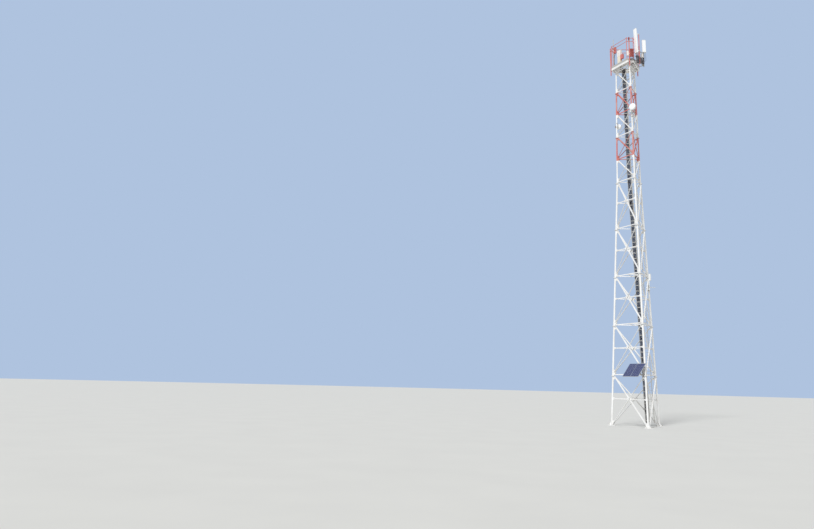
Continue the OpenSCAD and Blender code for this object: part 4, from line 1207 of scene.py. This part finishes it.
class TOWER_OT_dish_fittings(TowerStep):
    """Band the dishes' rims and hang their outdoor units"""

    bl_idname = "tower.dish_fittings"
    bl_label = "Dish fittings"

    def outdoor_unit(self):
        """A finned box behind a dish, its flange toward it."""
        fins = copies(block((0.034, 0.004, 0.170), (-0.048, 0, 0), 0.0012, 1),
                      [at(0, -0.080 + 0.016 * i) for i in range(11)])
        neck = copies(rod(0.036, 0, 0.075, sides=24, rim=0.003), [at(0.030) @ turn(90, "Y")])
        return join([block((0.070, 0.190, 0.190), rounding=0.008), fins, neck])

    def build(self, tower):
        large, small = tower.dish_pipe() @ turn(-76), tower.small_dish_pipe() @ turn(-15)
        hoops, screws = [], []
        for place, back, radius, depth in ((large, 0.165, 0.280, 0.180), (small, 0.110, 0.230, 0.130)):
            rim = place @ at(back) @ turn(90, "Y")
            hoops.append(copies(band(radius, depth - 0.026, depth + 0.004, 0.003, 64), [rim]))
            screws += nested([rim], ring(12, radius + 0.003, z=depth - 0.011))
        finish(join(hoops), "dish_rim_bands", "anodised")
        fit(rod(0.006, 0, 0.004, sides=12, rim=0.001), nested(screws, [turn(90, "Y")]),
            "dish_rim_screws", "plated")
        fit(self.outdoor_unit(), [large @ at(0.118, -0.150, 0.010), small @ at(0.062, 0.142, 0)],
            "dish_outdoor_units", "tan_coat")
        heads = [place @ at(x, y, z) @ turn(math.copysign(90, -y), "X")
                 for place, x, half, rise in ((large, 0.060, 0.055, 0.050), (small, 0.050, 0.045, 0.035))
                 for y in (half, -half) for z in (-rise, rise)]
        fit(bolt_head(0.012), heads, "dish_hub_bolts", "plated")
        runs = [self.run_cable(large, (0.118, -0.150, -0.085), 0.045, -0.215, -0.600),
                self.run_cable(small, (0.062, 0.142, -0.095), 0.037, -0.190, -0.230)]
        finish(join(runs), "dish_cables", "sheath")

    def run_cable(self, place, unit, reach, meets, bottom):
        """A cable from an outdoor unit to its pipe, which it meets at one height, and down."""
        x, y, z = unit
        lane = math.copysign(reach, y)
        return cable(place, [unit, (x, y, z - 0.060), (0.050, y * 0.8, z - 0.110),
                             (0, lane, meets), (0, lane, bottom)])


class TOWER_OT_side_antenna_fittings(TowerStep):
    """Cap the side panel, clamp its pipe and tip the boom's rods"""

    bl_idname = "tower.side_antenna_fittings"
    bl_label = "Side antenna fittings"

    panel_turn, boom_turn = 47, 77
    rods = (0.110, 0.210, 0.310, 0.410)

    def build(self, tower):
        pipe = tower.side_pipe()
        panel = pipe @ turn(self.panel_turn)
        fit(block((0.086, 0.206, 0.026), rounding=0.006), up(panel @ at(0.095), (0.562, 1.098)),
            "side_panel_caps", "cap_plastic", "radome")
        bows = copies(u_bolt(0.050, 0.010, 0.046),
                      up(pipe @ turn(180), [z + dz for z in (-0.250, 0.110) for dz in (-0.020, 0.020)]))
        bands = copies(u_bolt(0.050, 0.008, 0.040), up(panel, (0.645, 0.985)))
        finish(join([bows, bands]), "side_pipe_clamps")
        boom = pipe @ at(z=-0.020) @ turn(self.boom_turn)
        grips = copies(block((0.030, 0.034, 0.034), rounding=0.004), [boom @ at(x) for x in self.rods])
        tips = copies(rod(0.0065, 0, 0.012, sides=12, rim=0.002),
                      [boom @ at(x, 0, z) for x in self.rods for z in (-0.072, 0.060)])
        finish(join([grips, tips]), "boom_fittings", "cap_plastic")


class TOWER_OT_solar_fittings(TowerStep):
    """Frame the solar modules, print their conductors and clamp them down"""

    bl_idname = "tower.solar_fittings"
    bl_label = "Solar fittings"

    length, width, thick = 1.300, 0.780, 0.040
    cells_long, cells_wide = 8, 5
    tilt, rack_foot, edge = 50, 1.040, 0.004

    def module_frame(self):
        """Four extruded bars round a module, standing a little above its glass."""
        deep, mid = self.thick + 0.006, self.thick / 2
        sides = copies(block((self.length + 0.004, 0.012, deep), rounding=0.0015),
                       [at(self.length / 2, y, mid) for y in (self.edge, self.width - self.edge)])
        tops = copies(block((0.012, self.width - 0.012, deep), rounding=0.0015),
                      [at(x, self.width / 2, mid) for x in (self.edge, self.length - self.edge)])
        return join([sides, tops])

    def conductors(self):
        """Silver gaps between the cells, and two busbars over each row of cells."""
        top, mid_x, mid_y = self.thick + 0.0006, self.length / 2, self.width / 2
        row = self.width / self.cells_wide
        lines = [((0.0030, self.width - 0.030, 0.0012), (self.length * i / self.cells_long, mid_y, top))
                 for i in range(1, self.cells_long)]
        lines += [((self.length - 0.030, 0.0030, 0.0012), (mid_x, row * i, top))
                  for i in range(1, self.cells_wide)]
        lines += [((self.length - 0.040, 0.0012, 0.0008), (mid_x, row * (i + share), top))
                  for i in range(self.cells_wide) for share in (0.33, 0.67)]
        return join([block(size, centre, size[2] / 4, 1) for size, centre in lines])

    def build(self, tower):
        rise = self.rack_foot * math.sin(math.radians(self.tilt)) + 0.003
        rack = (tower.axis() @ turn(210)
                @ at(tower.radius(tower.bay) / 2 + 0.172, 0.560, tower.bay + rise) @ turn(self.tilt, "Y"))
        modules = [rack @ at(0, y) for y in (-0.200, 0.600)]
        fit(self.module_frame(), modules, "module_frames", "anodised")
        fit(self.conductors(), modules, "module_conductors", "silver_print")
        clamp = join([block((0.050, 0.040, 0.006), (0, 0, 0.003), 0.001),
                      copies(bolt_head(0.008), [at(z=0.006)])])
        tops = [rack @ at(x, y, self.thick + 0.003) for x in (0.230, 1.070) for y in (-0.192, 0.590, 1.372)]
        fit(clamp, tops, "module_clamps", "anodised")
        fit(block((0.110, 0.130, 0.026), (0, 0, -0.013), 0.006), nested(modules, [at(0.450, self.width / 2)]),
            "junction_boxes", "cap_plastic")


class TOWER_OT_lamp_fittings(TowerStep):
    """Guard the obstruction lamp and cut its lens rings"""

    bl_idname = "tower.lamp_fittings"
    bl_label = "Lamp fittings"

    lamp_z, guard_r, foot_r = 1.950, 0.074, 0.049
    # Radius and height of the guard's bars
    guard = ((0.063, 0.090), (0.074, 0.110), (0.074, 0.180), (0.064, 0.205))

    def build(self, tower):
        foot = tower.pole(-90, self.lamp_z)
        bars = copies(wire([(r, 0, z) for r, z in self.guard], 0.0030), nested([foot], ring(6)))
        hoop = copies(weld_bead(self.guard_r, 0.003), [foot @ at(z=0.145)])
        finish(join([bars, hoop]), "lamp_guard")
        fit(weld_bead(0.0555, 0.0035), up(foot, [0.105 + 0.012 * i for i in range(7)]),
            "lamp_lens_rings", "lamp_glass")
        fit(bolt_head(0.008), nested([foot], ring(4, self.foot_r, 45, 0.020)), "lamp_foot_bolts", "plated")


class TOWER_OT_stage(bpy.types.Operator):
    """Add the floor, the light and the camera"""

    bl_idname = "tower.stage"
    bl_label = "Stage"

    floor_r, floor_z = 400, -0.002
    sun_turn = (math.radians(48), 0, math.radians(-28))
    sun_angle = math.radians(12)
    sensor, photo_width, far = 36.0, 814, 2000

    def execute(self, context):
        stage = context.scene.tower_stage
        bpy.ops.object.select_all(action="DESELECT")
        bpy.ops.mesh.primitive_circle_add(vertices=96, radius=self.floor_r, fill_type="NGON",
                                          location=(0, 0, self.floor_z))
        floor = context.active_object
        floor.name = "studio_floor"
        bpy.ops.object.transform_apply()
        floor.data.materials.append(studio_floor())
        self.light(context, stage)
        self.camera(context, stage)
        return {"FINISHED"}

    def light(self, context, stage):
        """A soft key lamp, even light from all round, and a backdrop that the camera sees."""
        bpy.ops.object.light_add(type="SUN", rotation=self.sun_turn)
        key = context.active_object
        key.data.energy = stage.sun
        key.data.angle = self.sun_angle
        world = bpy.data.worlds.new("studio")
        context.scene.world = world
        world.use_nodes = True
        tree = world.node_tree
        tree.nodes.clear()
        path = add(tree, "ShaderNodeLightPath").outputs
        seen = path["Is Camera Ray"]
        for ray in ("Is Glossy Ray", "Is Transmission Ray"):
            seen = add(tree, "ShaderNodeMath", links={0: seen, 1: path[ray]},
                       operation="MAXIMUM").outputs[0]
        fill, backdrop = [
            add(tree, "ShaderNodeBackground", {"Color": panel_colour(code), "Strength": strength}).outputs[0]
            for code, strength in (("#FFFFFF", stage.fill), ("sky", 1.0))]
        mixed = add(tree, "ShaderNodeMixShader", links={0: seen, 1: fill, 2: backdrop})
        add(tree, "ShaderNodeOutputWorld", links={"Surface": mixed.outputs[0]})

    def camera(self, context, stage):
        bpy.ops.object.camera_add()
        camera = context.active_object
        camera.matrix_world = (at(*stage.eye) @ tip(stage.heading, "Z")
                               @ tip(math.pi / 2 + stage.pitch, "X") @ tip(stage.roll, "Z"))
        camera.data.sensor_width = self.sensor
        camera.data.lens = self.sensor * stage.focal_px / self.photo_width
        camera.data.clip_end = self.far
        context.scene.camera = camera
        context.scene.view_settings.view_transform = "Standard"


class TOWER_PT_panel(bpy.types.Panel):
    """The tower's steps, in order"""

    bl_label = "Tower"
    bl_idname = "TOWER_PT_panel"
    bl_space_type = "VIEW_3D"
    bl_region_type = "UI"
    bl_category = "Tower"

    def draw(self, context):
        for step in STEPS:
            self.layout.operator(step.bl_idname)


STEPS = (TOWER_OT_finish_steel, TOWER_OT_leg_fasteners, TOWER_OT_bracing_bolts,
         TOWER_OT_ladder_fittings, TOWER_OT_platform_fittings, TOWER_OT_pole_fittings,
         TOWER_OT_antenna_fittings, TOWER_OT_radio_fittings, TOWER_OT_cabinet_fittings,
         TOWER_OT_dish_fittings, TOWER_OT_side_antenna_fittings, TOWER_OT_solar_fittings,
         TOWER_OT_lamp_fittings, TOWER_OT_stage)
CLASSES = (TowerSizes, TowerColours, TowerStage, *STEPS, TOWER_PT_panel)


def register():
    for item in CLASSES:
        bpy.utils.register_class(item)
    bpy.types.Scene.tower_sizes = PointerProperty(type=TowerSizes)
    bpy.types.Scene.tower_colours = PointerProperty(type=TowerColours)
    bpy.types.Scene.tower_stage = PointerProperty(type=TowerStage)


def unregister():
    del bpy.types.Scene.tower_stage
    del bpy.types.Scene.tower_colours
    del bpy.types.Scene.tower_sizes
    for item in reversed(CLASSES):
        bpy.utils.unregister_class(item)


def main():
    register()
    for step in STEPS:
        area, name = step.bl_idname.split(".")
        getattr(getattr(bpy.ops, area), name)()


if __name__ == "__main__":
    main()
